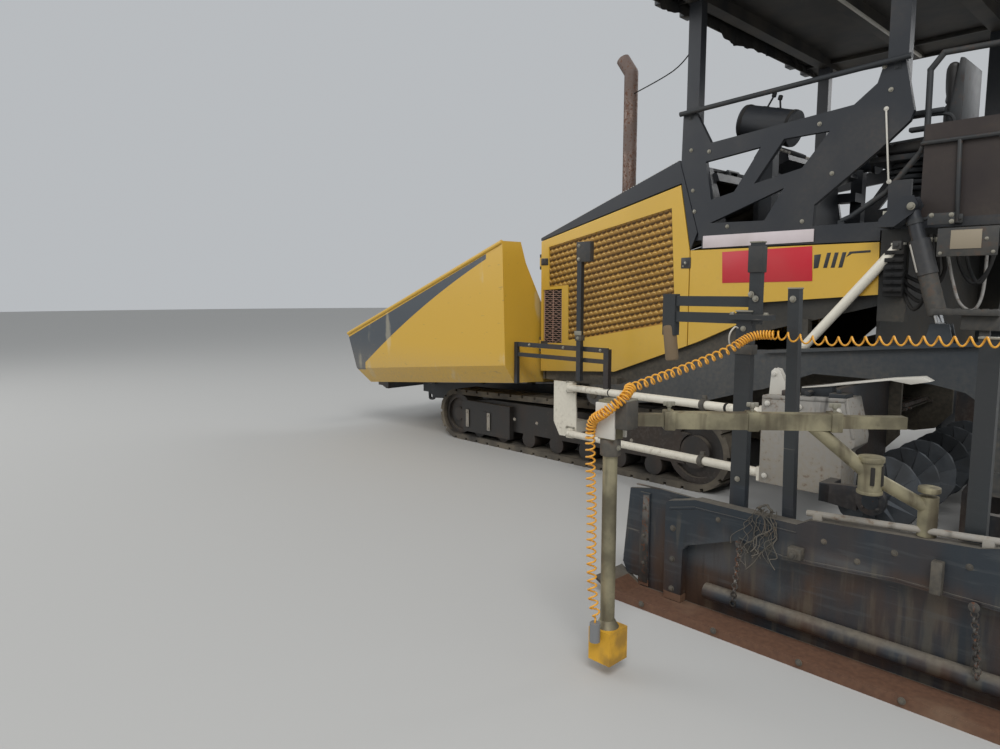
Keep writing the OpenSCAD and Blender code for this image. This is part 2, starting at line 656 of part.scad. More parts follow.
// Lift cylinders
lift_top = [-2270, 2110];
lift_eye = [-2480, 1360];
lift_y = body_half_w + 100;
lift_pin_r = 25;
lift_eye_play = 7;
lift_l = norm(lift_eye - lift_top);
lift_tilt = atan2(lift_top[0] - lift_eye[0], lift_top[1] - lift_eye[1]);
// draws with +Z from the lower eye up to the upper eye
module along_lift() translate([lift_eye[0], lift_y, lift_eye[1]]) rotate([0, lift_tilt, 0]) children();
module lift_barrel_shape() color(black) along_lift() {
    difference() {
        translate([0, 0, 330]) cylinder(r = 42, h = lift_l - 330 - 40);
        translate([0, 0, 300]) cylinder(r = 26 + fit, h = lift_l - 330 - 60);
    }
    difference() {
        translate([0, 0, lift_l]) rotate([90, 0, 0]) translate([0, 0, -25]) cylinder(r = 50, h = 50);
        translate([0, 0, lift_l]) rotate([90, 0, 0]) translate([0, 0, -30]) cylinder(r = lift_pin_r + fit, h = 60);
    }
}
module lift_rod_shape() color("#c8c8c8") along_lift() {
    translate([0, 0, 40]) cylinder(r = 26, h = 340);
    difference() {
        rotate([90, 0, 0]) translate([0, 0, -25]) cylinder(r = 50, h = 50);
        rotate([90, 0, 0]) translate([0, 0, -30]) cylinder(r = lift_pin_r + lift_eye_play, h = 60);
    }
}
module lift_barrel_left() lift_barrel_shape();
module lift_barrel_right() mirror([0, 1, 0]) lift_barrel_shape();
module lift_rod_left() lift_rod_shape();
module lift_rod_right() mirror([0, 1, 0]) lift_rod_shape();

// Tow arms
arm_y0 = body_half_w + 72;
arm_y1 = arm_y0 + 100;
arm_web = [[180, 730], [170, 640], [100, 605], [5, 640], [-941, 763], [-1297, 875], [-1400, 900], [-1750, 1040],
           [-2460, 1035], [-2640, 1000], [-2780, 900], [-2780, 420], [-2940, 420], [-2940, 1290], [-2700, 1300],
           [-1420, 1180], [-1231, 1173], [-930, 1079], [-395, 905], [-149, 816], [60, 795], [140, 785]];
module tow_arm_shape() color(anthracite) difference() {
    union() {
        side_view(arm_y0 + 30, arm_y0 + 70) polygon(arm_web);
        side_view(arm_y0, arm_y1) polygon([
            [-1420, 1160], [-1420, 1180], [-2700, 1300], [-2900, 1293], [-2900, 1270], [-2700, 1278]]);
        side_view(arm_y0, arm_y1) polygon([[-2940, 420], [-2780, 420], [-2780, 560], [-2940, 560]]);
        across(tow_x, tow_z, arm_y0, arm_y1 - 10, 80);
        // lugs and pin of the lift cylinder
        for (y = [lift_y - 46, lift_y + 32]) side_view(y, y + 14) polygon([
            [-2560, 1275], [-2400, 1262], [-2430, 1400], [-2530, 1400]]);
        block(-2560, -2400, lift_y - 46, arm_y0 + 1, 1268, 1284);
        across(lift_eye[0], lift_eye[1], lift_y - 46, lift_y + 46, lift_pin_r);
    }
    across(tow_x, tow_z, arm_y0 - 1, arm_y1 + 1, tow_pin_r + fit);
}
module tow_arm_left() tow_arm_shape();
module tow_arm_right() mirror([0, 1, 0]) tow_arm_shape();

// Middle screed
ext_in = 440;           // an extension's inner end when it is pushed in
travel = 850;
guide_z = 625;
function guide_x(s) = s > 0 ? -3110 : -3290;
module screed_body() color(black) {
    side_view(-screed_half_w, screed_half_w) polygon([
        [screed_front_x, 40], [screed_front_x + 12, 60], [screed_front_x + 12, 380], [screed_front_x - 60, 520],
        [screed_rear_x, 520], [screed_rear_x, 0], [screed_front_x - 40, 0]]);
    // shoulders to the tow arms
    both_sides() block(-2940, -2790, screed_half_w - 1, arm_y0, 430, 519);
    // spine between the extensions, and the middle walkway
    block(-3430, screed_rear_x + 1, -300, 300, 250, 470);
    block(-3750, -3430, -1200, 1200, 350, 375);
    block(-3460, -3429, -300, 300, 250, 375);
    // guide blocks of the extension tubes
    for (s = [-1, 1], y = [-430, 230]) difference() {
        union() {
            y0 = s > 0 ? y : -y - 130;
            block(guide_x(s) - 60, guide_x(s) + 60, y0, y0 + 130, 560, 690);
            block(guide_x(s) + 59, screed_rear_x + 60, y0, y0 + 130, 519, 690);
        }
        across(guide_x(s), guide_z, -800, 800, guide_r + fit);
        across(guide_x(-s), guide_z, -800, 800, guide_r + 8);
    }
}

// Screed extensions, with the round posts on which the end gate slides
gate_guides = [-3200, -3350];
module extension_shape(s) color(black) {
    side_view(ext_in + travel, ext_end_y) polygon([
        [-3012, 40], [-3012, 400], [-3060, 500], [-3340, 500], [ext_rear_x, 320], [ext_rear_x, 0], [-3040, 0]]);
    // guide tube and the posts that hold it
    across(guide_x(s), guide_z, -700, ext_end_y - 200, guide_r);
    for (y = [ext_in + travel, ext_end_y - 230]) difference() {
        block(guide_x(s) - 45, guide_x(s) + 45, y, y + 40, 499, 690);
    }
    // walkway
    block(-3740, ext_rear_x + 1, ext_in + travel, ext_end_y - 60, 290, 312);
    // guide posts of the end gate
    for (x = gate_guides) {
        translate([x, ext_end_y + 26, 60]) cylinder(r = 20, h = 560);
        for (z = [60, 580]) block(x - 20, x + 20, ext_end_y - 1, ext_end_y + 26, z, z + 40);
    }
    block(-3375, -3175, ext_end_y - 60, ext_end_y, 470, 620);
}
module extension_left() extension_shape(1);
module extension_right() mirror([0, 1, 0]) extension_shape(-1);

// End gates
gate_y0 = ext_end_y + 52;
gate_y1 = gate_y0 + 18;
// two corners of the gate's top edge, and the height of that edge between them
gate_mid = [-2499, 601];
gate_back = [-3126, 639];
function gate_top(x) =
    gate_mid[1] + (gate_back[1] - gate_mid[1]) * (gate_mid[0] - x) / (gate_mid[0] - gate_back[0]);
module end_gate_shape() color(black) {
    side_view(gate_y0, gate_y1) polygon([
        [gate_front_x + 40, 120], [gate_front_x, 540], [-1700, 569], [-1900, 560], [-1933, 571], [-2438, 567],
        gate_mid, gate_back, [-3186, 655], [gate_rear_x, 655], [gate_rear_x, 60], [gate_front_x + 10, 60]]);
    // box frame over the outer face: front post and top beam in one
    side_view(gate_y1 - 1, gate_y1 + 52) polygon([
        [-1765, 20], [-1765, 518], [-1780, 535], [-1933, 571], [-2438, 567], gate_mid, gate_back, [-3186, 655],
        [gate_rear_x, 655], [gate_rear_x, 411], [-2848, 425], [-2383, 390], [-2163, 423],
        [-1900, 330], [-1870, 300], [-1865, 20]]);
    block(-1641, -1580, gate_y1 - 1, gate_y1 + 8, 23, 533);
    // runner, a shoe with a raised outer edge
    color(rust_brown) side_view(gate_y0, gate_y0 + 240) polygon([
        [gate_front_x + 60, 90], [gate_front_x + 60, 75], [gate_front_x - 60, 12], [gate_front_x - 60, 0],
        [gate_rear_x, 0], [gate_rear_x, 16], [gate_front_x - 80, 16]]);
    color(rust_brown) block(gate_rear_x, gate_front_x - 60, gate_y0 + 214, gate_y0 + 240, 15, 42);
    side_view(gate_y0, gate_y1) polygon([
        [gate_front_x - 60, 10], [gate_front_x - 60, 61], [gate_rear_x, 61], [gate_rear_x, 10]]);
    // bead along the sliding plate
    rod([-1990, gate_y0 + 40, 115], [-3540, gate_y0 + 40, 115], 40);
    // sleeves on the guide posts
    for (x = gate_guides) difference() {
        union() {
            translate([x, ext_end_y + 26, 240]) cylinder(r = 25.5, h = 120);
            block(x - 20, x + 20, ext_end_y + 28, gate_y0 + 1, 240, 360);
        }
        translate([x, ext_end_y + 26, 239]) cylinder(r = 20 + fit, h = 122);
    }
    // posts: the front one in two parts, a short one behind it, and the rear one
    block(-2155, -2078, gate_y0 - 40, gate_y0 + 1, 420, 1500);
    block(-2188, -2134, gate_y0 - 39, gate_y0 - 2, 1440, 1817);
    block(-3130, -3060, gate_y0 - 40, gate_y0 + 1, 420, 1420);
    side_view(gate_y0 - 38, gate_y0 + 1) polygon([[-2392, 450], [-2342, 450], [-2320, 1607], [-2371, 1607]]);
    // clamp plate and parallel arms on the front post
    block(-2240, -2044, gate_y0 - 60, gate_y0 + 20, 1462, 1486);
    for (z = [1440, 1520]) block(-2160, -1680, gate_y0 - 72, gate_y0 - 39, z, z + 50);
    block(-1722, -1650, gate_y0 - 78, gate_y0 - 33, 1370, 1580);
}
module end_gate_left() end_gate_shape();
module end_gate_right() mirror([0, 1, 0]) end_gate_shape();

// Grade sensor on a square tube that stands out at 45 degrees, held by two links on the gate
sensor_x = -1990;
sensor_y = 3950;
arm_z = 1080;
arm_turn = 42;          // plan angle of the tube
link_at = 800;          // where the links hold the tube, along it
link_joint = [sensor_x - link_at * cos(arm_turn), sensor_y - link_at * sin(arm_turn), arm_z - 20];
link_swivel = [-2765, 3285, 870];
link_foot = [-2935, 3130, 740];
foot_r = 36;
module square_tube(l0, l1, w) translate([sensor_x, sensor_y, arm_z]) rotate([0, 0, 180 + arm_turn])
    block(l0, l1, -w / 2, w / 2, -w / 2, w / 2);
module grade_sensor_shape() color(steel) {
    // foot, standing on the gate's top edge
    foot_z = gate_top(link_foot[0] - foot_r) + fit;
    translate([link_foot[0], link_foot[1], foot_z]) cylinder(r = foot_r, h = 160);
    rod(link_foot, link_swivel, 27);
    translate([link_swivel[0], link_swivel[1], link_swivel[2] - 70]) cylinder(r = 44, h = 145);
    rod(link_swivel, link_joint, 27);
    square_tube(0, 1150, 48);
    square_tube(230, 900, 64);
    translate([sensor_x, sensor_y, 230]) cylinder(r = 30, h = 935);
    block(sensor_x - 36, sensor_x + 36, sensor_y - 36, sensor_y + 36, 1000, 1160);
    color(yellow) block(sensor_x - 60, sensor_x + 50, sensor_y - 60, sensor_y + 60, 60, 200);
    color("#9a9a98") translate([sensor_x, sensor_y, 199]) cylinder(r1 = 50, r2 = 32, h = 32);
}
module grade_sensor_left() grade_sensor_shape();
module grade_sensor_right() mirror([0, 1, 0]) grade_sensor_shape();

module control_box() color(black) {
    block(-3560, -3400, gate_y0 - 60, gate_y0 + 100, 1250, 1480);
    block(-3500, -3460, gate_y0 - 40, gate_y0, 560, 1251);
}

// Curly cable, as one fat tube
coil_r = 22;
cable_sides = 8;
cable_route = [
    [-3400, 3165, 1400], [-3250, 3165, 1400], [-3100, 3165, 1410], [-2800, 3165, 1400],
    [-2500, 3165, 1385], [-2300, 3170, 1400], [-2200, 3200, 1390], [-2140, 3300, 1330], [-2080, 3500, 1270], [-2040, 3700, 1230], [-2020, 3860, 1200],
    [-2060, 3920, 1210], [-2080, 3990, 1180], [-2020, 4030, 1120], [-1940, 4010, 1060], [-1920, 3990, 900],
    [-1930, 3990, 700], [-1940, 4000, 500], [-1970, 4025, 350], [-1990, 4032, 280], [-1990, 4032, 240]];
function unit(v) = v / norm(v);
function cable_dir(i) = unit(cable_route[min(i + 1, len(cable_route) - 1)] - cable_route[max(i - 1, 0)]);
function cable_side(i) = unit(cross(cable_dir(i), [0.3, 0.2, 1]));
function cable_ring(i) = [for (k = [0:cable_sides - 1]) let (a = 360 * k / cable_sides)
    cable_route[i] + coil_r * (cos(a) * cable_side(i) + sin(a) * cross(cable_side(i), cable_dir(i)))];
module curly_cable() color("orange") {
    n = len(cable_route);
    m = cable_sides;
    polyhedron(
        points = [for (i = [0:n - 1]) each cable_ring(i)],
        faces = concat(
            [[for (k = [0:m - 1]) k]],
            [for (i = [0:n - 2], k = [0:m - 1])
                [i * m + k, (i + 1) * m + k, (i + 1) * m + (k + 1) % m]],
            [for (i = [0:n - 2], k = [0:m - 1])
                [i * m + k, (i + 1) * m + (k + 1) % m, i * m + (k + 1) % m]],
            [[for (k = [m - 1:-1:0]) (n - 1) * m + k]]));
}
module cable_plug() color("#8f9294") translate([-1990, 4032, 160]) cylinder(r = 22, h = 80);

chassis();
track_left();
track_right();
track_frame_left();
track_frame_right();
hopper_floor();
slat_conveyor();
push_beam();
push_roller_left();
push_roller_right();
wing_left();
wing_right();
engine_door_left();
engine_door_right();
grille_left();
grille_right();
cowl_shoulders();
hood_lid();
engine_block();
exhaust_pipe();
operator_floor();
rear_panels();
side_frames();
roof_posts();
roof();
console();
seats();
rear_screens();
handrails();
ladder();
auger_hanger();
tunnel_left();
tunnel_right();
brace_left();
brace_right();
sensor_bars();
auger_left();
auger_right();
lift_barrel_left();
lift_barrel_right();
lift_rod_left();
lift_rod_right();
tow_arm_left();
tow_arm_right();
screed_body();
extension_left();
extension_right();
end_gate_left();
end_gate_right();
grade_sensor_left();
grade_sensor_right();
control_box();
curly_cable();
cable_plug();
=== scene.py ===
# %% [markdown]
# # Dressing a tracked asphalt paver
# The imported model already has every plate, shaft and joint at its real size. This lesson gives it paint,
# rubber, rust and dust, and adds the small things that a drawing leaves out: bolts, hoses, chains, lamps, wear
# strips. The model is loaded first, because every new piece is placed by its measures.

# %% Load the frame
import math
import random

import bpy
from mathutils import Matrix, Vector


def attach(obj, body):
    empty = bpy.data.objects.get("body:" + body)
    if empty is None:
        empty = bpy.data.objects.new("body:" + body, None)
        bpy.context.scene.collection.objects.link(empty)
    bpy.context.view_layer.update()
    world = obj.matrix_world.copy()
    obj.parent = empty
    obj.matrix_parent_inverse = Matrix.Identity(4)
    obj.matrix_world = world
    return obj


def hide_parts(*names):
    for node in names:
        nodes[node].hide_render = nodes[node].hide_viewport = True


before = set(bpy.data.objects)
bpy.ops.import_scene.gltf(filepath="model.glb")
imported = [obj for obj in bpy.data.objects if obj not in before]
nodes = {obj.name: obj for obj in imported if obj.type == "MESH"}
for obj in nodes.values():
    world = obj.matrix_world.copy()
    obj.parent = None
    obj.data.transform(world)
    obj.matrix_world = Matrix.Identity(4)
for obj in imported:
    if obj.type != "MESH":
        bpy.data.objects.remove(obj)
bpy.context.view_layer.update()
scene = bpy.context.scene
scene.view_settings.view_transform = "Standard"

# %% [markdown]
# ## The camera
# The picture was taken from 2.2 m to the left of the screed's end, looking along the machine to its hopper. Its
# focal length is 720 pixels for a picture 1000 pixels wide. Times the width of the sensor, that is the lens.

# %% Camera
camera_place = Vector((-3.75, 6.275, 1.6))
camera_forward = Vector((0.71447, -0.68989, -0.11656))
bpy.ops.object.camera_add(
    location=camera_place,
    rotation=camera_forward.to_track_quat("-Z", "Y").to_euler(),
)
camera = bpy.context.object
focal_pixels, picture_pixels = 720, 1000
camera.data.lens = camera.data.sensor_width * focal_pixels / picture_pixels
camera.data.clip_end = 200
scene.camera = camera
print("camera at", tuple(camera_place), "lens", round(camera.data.lens, 2))

# %% [markdown]
# ## Shader maths as expressions
# A finish is easier to read as a sum than as a web of nodes. `Field` stands for a value that varies over a
# surface, so that `height * 2 + cloud` adds the Math nodes that it needs. `Finish` is one material: its `node`
# method adds any other node, and `show` sends the results to the shader.


# %% Fields and finishes
class Field:
    """A number that varies over a surface, with the arithmetic that a finish needs."""

    def __init__(self, finish, socket):
        self.finish = finish
        self.socket = socket

    def do(self, operation, *values):
        return self.finish.node("ShaderNodeMath", values, operation=operation)

    def clamped(self):
        return self.finish.node("ShaderNodeClamp", [self])

    def size(self):
        return self.do("ABSOLUTE", self)

    def step(self, low, high):
        """0 below low, 1 above high, and a smooth rise between them."""
        return self.finish.node(
            "ShaderNodeMapRange", {"Value": self, "From Min": low, "From Max": high},
            interpolation_type="SMOOTHSTEP",
        )


def give_operator(name, operation, swapped):
    """Lets Field answer an arithmetic operator with a Math node; swapped is for a number on the left."""
    def method(self, other):
        return self.do(operation, other, self) if swapped else self.do(operation, self, other)
    setattr(Field, f"__{name}__", method)


for name, operation in (("add", "ADD"), ("sub", "SUBTRACT"), ("mul", "MULTIPLY")):
    give_operator(name, operation, False)
    give_operator("r" + name, operation, True)
for name, operation in (("truediv", "DIVIDE"), ("gt", "GREATER_THAN"), ("lt", "LESS_THAN")):
    give_operator(name, operation, False)


class Finish:
    """A material whose nodes are added one at a time."""

    def __init__(self, name):
        self.material = bpy.data.materials.new(name)
        self.material.use_nodes = True
        self.tree = self.material.node_tree
        self.shader = self.tree.nodes["Principled BSDF"]
        self.place = self.node("ShaderNodeTexCoord", output="Object")
        parts = self.node("ShaderNodeSeparateXYZ", [self.place])
        self.x, self.y, self.z = (Field(self, parts.socket.node.outputs[k]) for k in "XYZ")

    def node(self, kind, values=(), output=0, **settings):
        added = self.tree.nodes.new(kind)
        for name, value in settings.items():
            setattr(added, name, value)
        named = values.items() if isinstance(values, dict) else enumerate(values)
        for key, value in named:
            self.put(value, added.inputs[key])
        return Field(self, added.outputs[output])

    def put(self, value, socket):
        if isinstance(value, Field):
            self.tree.links.new(value.socket, socket)
        else:
            socket.default_value = value

    def cloud(self, scale, detail, stretch=(1, 1, 1)):
        """Soft random patches, from 0 to 1; stretch squeezes them along an axis."""
        place = self.node("ShaderNodeVectorMath", [self.place, stretch], operation="MULTIPLY")
        return self.node("ShaderNodeTexNoise", {"Vector": place, "Scale": scale, "Detail": detail})

    def facing_up(self, low, high):
        """1 where the surface faces up, 0 where it stands upright."""
        normal = self.node("ShaderNodeNewGeometry", output="Normal")
        parts = self.node("ShaderNodeSeparateXYZ", [normal])
        return Field(self, parts.socket.node.outputs["Z"]).step(low, high)

    def mix(self, amount, below, above):
        """The colour below, covered by the colour above where amount is 1."""
        added = self.tree.nodes.new("ShaderNodeMix")
        added.data_type = "RGBA"
        for value, key in ((amount, 0), (below, 6), (above, 7)):
            self.put(value, added.inputs[key])
        return Field(self, added.outputs[2])

    def layers(self, colour, *covers):
        """The colour with covers laid over it in turn, each given as (amount, colour)."""
        for amount, cover in covers:
            colour = self.mix(amount, colour, cover)
        return colour

    def show(self, colour, roughness, metallic=0.0, bump=None, strength=0.2, depth=0.002):
        self.put(colour, self.shader.inputs["Base Color"])
        self.put(roughness, self.shader.inputs["Roughness"])
        self.put(metallic, self.shader.inputs["Metallic"])
        if bump is not None:
            values = {"Height": bump, "Strength": strength, "Distance": depth}
            self.put(self.node("ShaderNodeBump", values), self.shader.inputs["Normal"])
        return self.material


def tone(red, green, blue):
    """A colour given as screen values from 0 to 255, as a shader wants it."""
    parts = [v / 255 for v in (red, green, blue)]
    return tuple(v / 12.92 if v < 0.04 else ((v + 0.055) / 1.055) ** 2.4 for v in parts) + (1,)


print("dust colour:", [round(v, 3) for v in tone(150, 138, 118)])

# %% [markdown]
# ## Paint that has worked outdoors
# A paver's paint is glossy from the factory. Dust then settles low down, tar splashes leave dark runs, and
# chips go down to rust. All three are masks made of soft clouds. Dust and rust move the colour and the
# roughness together, because a stain that only changes the colour looks printed on.

# %% Worn paint
dust = tone(150, 138, 118)
rust = tone(96, 58, 36)
tar = tone(26, 25, 24)


def worn_paint(name, colour, rough, dusty, rusty, tarred, dust_top, clear=0.0):
    """Paint with dust up to a height, rust chips, and splashes of tar."""
    f = Finish(name)
    wide = f.cloud(2.1, 5)
    fine = f.cloud(34, 6)
    streak = f.cloud(9, 5, (1, 1, 0.18))
    low = 1 - f.z.step(dust_top * 0.2, dust_top * 1.6)
    dust_mask = ((low * 0.7 + wide - 0.45) * fine * 2.4 * dusty).clamped()
    rust_mask = (wide * 0.5 + fine).step(0.86 - 0.16 * rusty, 1.0 - 0.12 * rusty) * min(1, rusty * 2)
    tar_mask = streak.step(0.72 - 0.2 * tarred, 0.82 - 0.1 * tarred) * min(1, tarred * 2)
    darker = [v * 0.86 for v in colour[:3]] + [1]
    lighter = [min(1, v * 1.1) for v in colour[:3]] + [1]
    shade = f.layers(darker, (wide, lighter), (dust_mask, dust), (tar_mask, tar), (rust_mask, rust))
    roughness = (rough + fine * 0.12 + dust_mask * 0.5 + rust_mask * 0.35).clamped()
    made = f.show(shade, roughness, bump=fine + rust_mask * 0.6 + tar_mask * 0.5, strength=0.12)
    f.shader.inputs["Coat Weight"].default_value = clear
    f.shader.inputs["Coat Roughness"].default_value = 0.15
    return made


yellow_paint = worn_paint("yellow paint", tone(212, 170, 62), 0.3, 0.2, 0.02, 0.05, 1.0, 0.3)
black_paint = worn_paint("black paint", tone(37, 40, 45), 0.4, 0.2, 0.03, 0.0, 1.5, 0.1)
band_black = worn_paint("side band black", tone(36, 36, 34), 0.5, 0.35, 0.06, 0.15, 1.2)
post_black = worn_paint("post black", tone(40, 43, 46), 0.5, 0.3, 0.12, 0.1, 1.6)
anthracite_paint = worn_paint("anthracite paint", tone(42, 51, 59), 0.4, 0.25, 0.06, 0.05, 1.2, 0.1)
white_tube_paint = worn_paint("white tube paint", tone(232, 226, 210), 0.4, 0.3, 0.12, 0.3, 0.9)
plate_grey = worn_paint("plate grey", tone(150, 148, 144), 0.5, 0.6, 0.25, 0.6, 1.0)
engine_grey = worn_paint("engine grey", tone(92, 94, 96), 0.5, 0.4, 0.1, 0.4, 1.6)
brown_panel_paint = worn_paint("brown panel paint", tone(42, 33, 31), 0.55, 0.2, 0.02, 0.0, 1.6)
print("paints:", len([m for m in bpy.data.materials if "paint" in m.name]))

# %% [markdown]
# ## Steel that lives in asphalt
# Screed and track frames lost most of their paint long ago. Hot mix leaves a blue-black skin on them, brown tar
# runs down their walls, and grey dust rests on what faces up. The skin is one colour; the brown is a tall
# stretched cloud, so that it reads as runs; the dust asks the surface which way it faces.


# %% Asphalt skin
def asphalt_skin(name, skin, brown=0.6, dusty=0.5):
    """Blue-black tar film with brown runs, grey dust on ledges and a few bare scuffs."""
    f = Finish(name)
    wide = f.cloud(1.6, 4)
    runs = f.cloud(5, 5, (1, 1, 0.25))
    fine = f.cloud(45, 5)
    up = f.facing_up(0.25, 0.85)
    stained = (wide * 0.6 + runs * 0.6).step(0.52, 0.74) * brown
    ledge = (up * (fine * 0.7 + 0.35) * dusty).clamped()
    bloom = (fine * wide).step(0.26, 0.42) * 0.35 * dusty
    scuff = f.cloud(14, 3, (0.3, 1, 2)).step(0.74, 0.8) * 0.3
    colour = f.layers(skin, (stained, tone(66, 49, 36)), (bloom, tone(96, 92, 84)), (scuff, tone(124, 120, 112)),
                      (ledge, tone(112, 104, 92)))
    rough = (0.46 + bloom * 0.5 + ledge * 0.4 - scuff * 0.2).clamped()
    return f.show(colour, rough, bump=fine + runs * 0.8, strength=0.3, depth=0.003)


work_black = asphalt_skin("work-worn black", tone(38, 42, 46))
under_skin = asphalt_skin("undercarriage skin", tone(46, 44, 42), 0.5, 0.9)
print("skins:", work_black.name, under_skin.name)

# %% [markdown]
# ## Bare metals, rubber and plastic
# Auger flights are scoured bright in patches while the rest of them stays coated. Zinc on bolts and brackets
# goes dull, and the exhaust is browned by heat. One recipe with two steels and an amount of rust makes these.
# The lift rods are chrome.

# %% Metals
def scoured_steel(name, bright, dark, rusty):
    """Steel that wears bright in patches under a film of tar and rust."""
    f = Finish(name)
    wide = f.cloud(5, 6)
    fine = f.cloud(60, 4)
    worn = wide.step(0.38, 0.62)
    rust_mask = (fine + wide * 0.5).step(0.95 - rusty * 0.4, 1.1 - rusty * 0.3)
    colour = f.layers(dark, (worn, bright), (rust_mask, rust))
    rough = 0.62 - worn * 0.25 + rust_mask * 0.3
    return f.show(colour, rough.clamped(), (worn * 0.8 - rust_mask * 0.7).clamped(), fine, 0.15)


def polished_metal(name, colour, rough):
    """Chrome or zinc with faint turning marks."""
    f = Finish(name)
    marks = f.cloud(90, 3, (1, 1, 0.2))
    return f.show(f.mix(marks, colour, [v * 0.8 for v in colour[:3]] + [1]), rough + marks * 0.12, 0.95)


auger_steel = scoured_steel("scoured auger steel", tone(84, 88, 92), tone(48, 50, 52), 0.05)
chain_steel = scoured_steel("chain steel", tone(120, 116, 110), tone(46, 42, 38), 0.5)
zinc = scoured_steel("weathered zinc", tone(158, 154, 142), tone(132, 128, 114), 0.2)
chrome = polished_metal("chrome rod", tone(215, 215, 215), 0.12)
exhaust_metal = scoured_steel("heat-browned exhaust", tone(134, 116, 106), tone(104, 88, 80), 0.6)
print("metals:", auger_steel.name, chain_steel.name, zinc.name, chrome.name)


# %% Rubber, vinyl and plastic
def soft_plastic(name, colour, rough, dusty, grain=80):
    """Rubber or plastic with a fine grain and a dusty bloom."""
    f = Finish(name)
    wide = f.cloud(4, 5)
    fine = f.cloud(grain, 3)
    bloom = (wide * 1.6 - 0.5).clamped() * dusty
    return f.show(f.mix(bloom, colour, dust), (rough + bloom * 0.3).clamped(), 0.0, fine, 0.2, 0.001)


track_rubber = soft_plastic("dusty track rubber", tone(52, 49, 46), 0.8, 0.75, 40)
seat_vinyl = soft_plastic("seat vinyl", tone(34, 34, 36), 0.5, 0.15, 160)
cable_orange = soft_plastic("orange cable sheath", tone(230, 164, 48), 0.32, 0.12)
plug_plastic = soft_plastic("grey plug", tone(120, 122, 124), 0.45, 0.2)
lamp_lens = soft_plastic("lamp lens", tone(226, 226, 220), 0.12, 0.1)
deep_black = soft_plastic("deep black", tone(16, 16, 17), 0.8, 0.1)
roof_black = soft_plastic("roof black", tone(22, 22, 24), 0.6, 0.25)
stop_brown = soft_plastic("brown rubber", tone(112, 92, 66), 0.7, 0.5, 40)
felt_black = soft_plastic("black felt", tone(30, 31, 34), 0.95, 0.2, 220)
sign_red = soft_plastic("red plate film", tone(196, 32, 48), 0.4, 0.15)
band_pale = soft_plastic("pale band", tone(214, 202, 204), 0.5, 0.5)
mesh_tan = soft_plastic("tan mesh", tone(196, 158, 142), 0.5, 0.3)
pale_steel = soft_plastic("scraped pale steel", tone(206, 202, 192), 0.45, 0.35, 40)
label_beige = soft_plastic("beige plate", tone(150, 138, 118), 0.6, 0.5)
print("materials so far:", len(bpy.data.materials))

# %% [markdown]
# ## The striped yellow of the wings
# The hopper wings carry a dark stripe that starts thin at the top rear corner and widens to the whole front
# edge. It could be a thin sheet laid on the wing, but real stripes are film or paint, so here it is a mask: one
# straight upper edge and one curved lower edge, compared with each point's height. Pale stains and thin
# scratches lie over both colours.



# %% Striped wing paint
def striped_wing_paint():
    """Yellow with the dark stripe."""
    # along the wing, where the stripe starts and where it fills the whole height; then the wing's outer skin
    stripe_start, stripe_front, outer_skin = 1.174, 3.18, 1.69
    f = Finish("striped wing paint")
    wide = f.cloud(2.3, 5)
    fine = f.cloud(40, 5)
    upper = 1.930 - (f.x - stripe_start) * 0.371
    along = ((f.x - stripe_start) / 2.05).clamped()
    lower = 1.884 - along * 0.86 - along * along * 0.26
    front = 5.0 - (f.x - stripe_front).step(0, 0.03) * 6.0
    inside = (upper > f.z) * (f.z > lower.do("MINIMUM", lower, front)) * (f.x > stripe_start)
    stripe = inside * (f.y.size() > outer_skin)
    run = f.cloud(6, 4, (1, 1, 0.12))
    stain = (run * wide).step(0.34, 0.42) * 0.35
    scratch = f.cloud(22, 2, (0.35, 1, 1.6)).step(0.70, 0.74) * 0.35
    low = 1 - f.z.step(0.62, 1.1)
    dirt = (low * 0.6 * fine + fine.step(0.62, 0.8) * 0.25).clamped()
    colour = f.layers(tone(211, 168, 60), (stripe, tone(72, 78, 84)), (stain, tone(206, 196, 168)),
                      (scratch, tone(120, 104, 78)), (dirt, dust))
    f.shader.inputs["Coat Weight"].default_value = 0.25
    f.shader.inputs["Coat Roughness"].default_value = 0.2
    return f.show(colour, (0.34 + stain * 0.8 + dirt * 0.4).clamped(), 0.0, fine, 0.1)


wing_paint = striped_wing_paint()

# %% [markdown]
# ## Louvres with painted highlights and painted shade
# Sheet louvres are painted a darker, browner yellow than the doors. Their undersides get painted shade, and
# the crests, which face up, get a painted highlight. Each of these is a mix by the way a surface faces.


# %% Louvre paint with painted light
def louvre_paint_with_painted_light():
    """Darker, browner yellow with a painted highlight on the crests and painted shade on the undersides."""
    f = Finish("louvre paint with painted light")
    wide = f.cloud(3, 5)
    fine = f.cloud(50, 4, (0.25, 1, 1))
    # painted highlight on the up-facing crests, painted shade on the down-facing undersides
    painted_crest_highlight, painted_underside_shade = f.facing_up(0.48, 0.66), 1 - f.facing_up(-0.45, 0.05)
    colour = f.layers(tone(166, 124, 46), (wide.step(0.35, 0.7) * 0.5, tone(134, 98, 46)),
                      (painted_crest_highlight, tone(240, 212, 136)), (painted_underside_shade, tone(84, 60, 30)),
                      (fine.step(0.6, 0.8) * 0.4, dust))
    return f.show(colour, 0.42 + wide * 0.2, 0.0, fine, 0.12)


louvre_paint = louvre_paint_with_painted_light()
print("paints for wings and louvres:", wing_paint.name, louvre_paint.name)

# %% [markdown]
# ## One node with two finishes
# The end gate's runner is bare rusty steel under a tar-black wall, and its posts are painted. The grade
# sensor's yellow foot hangs on a grey post. Each of these is one solid, so the border is a height: below it one
# colour, above it the other.


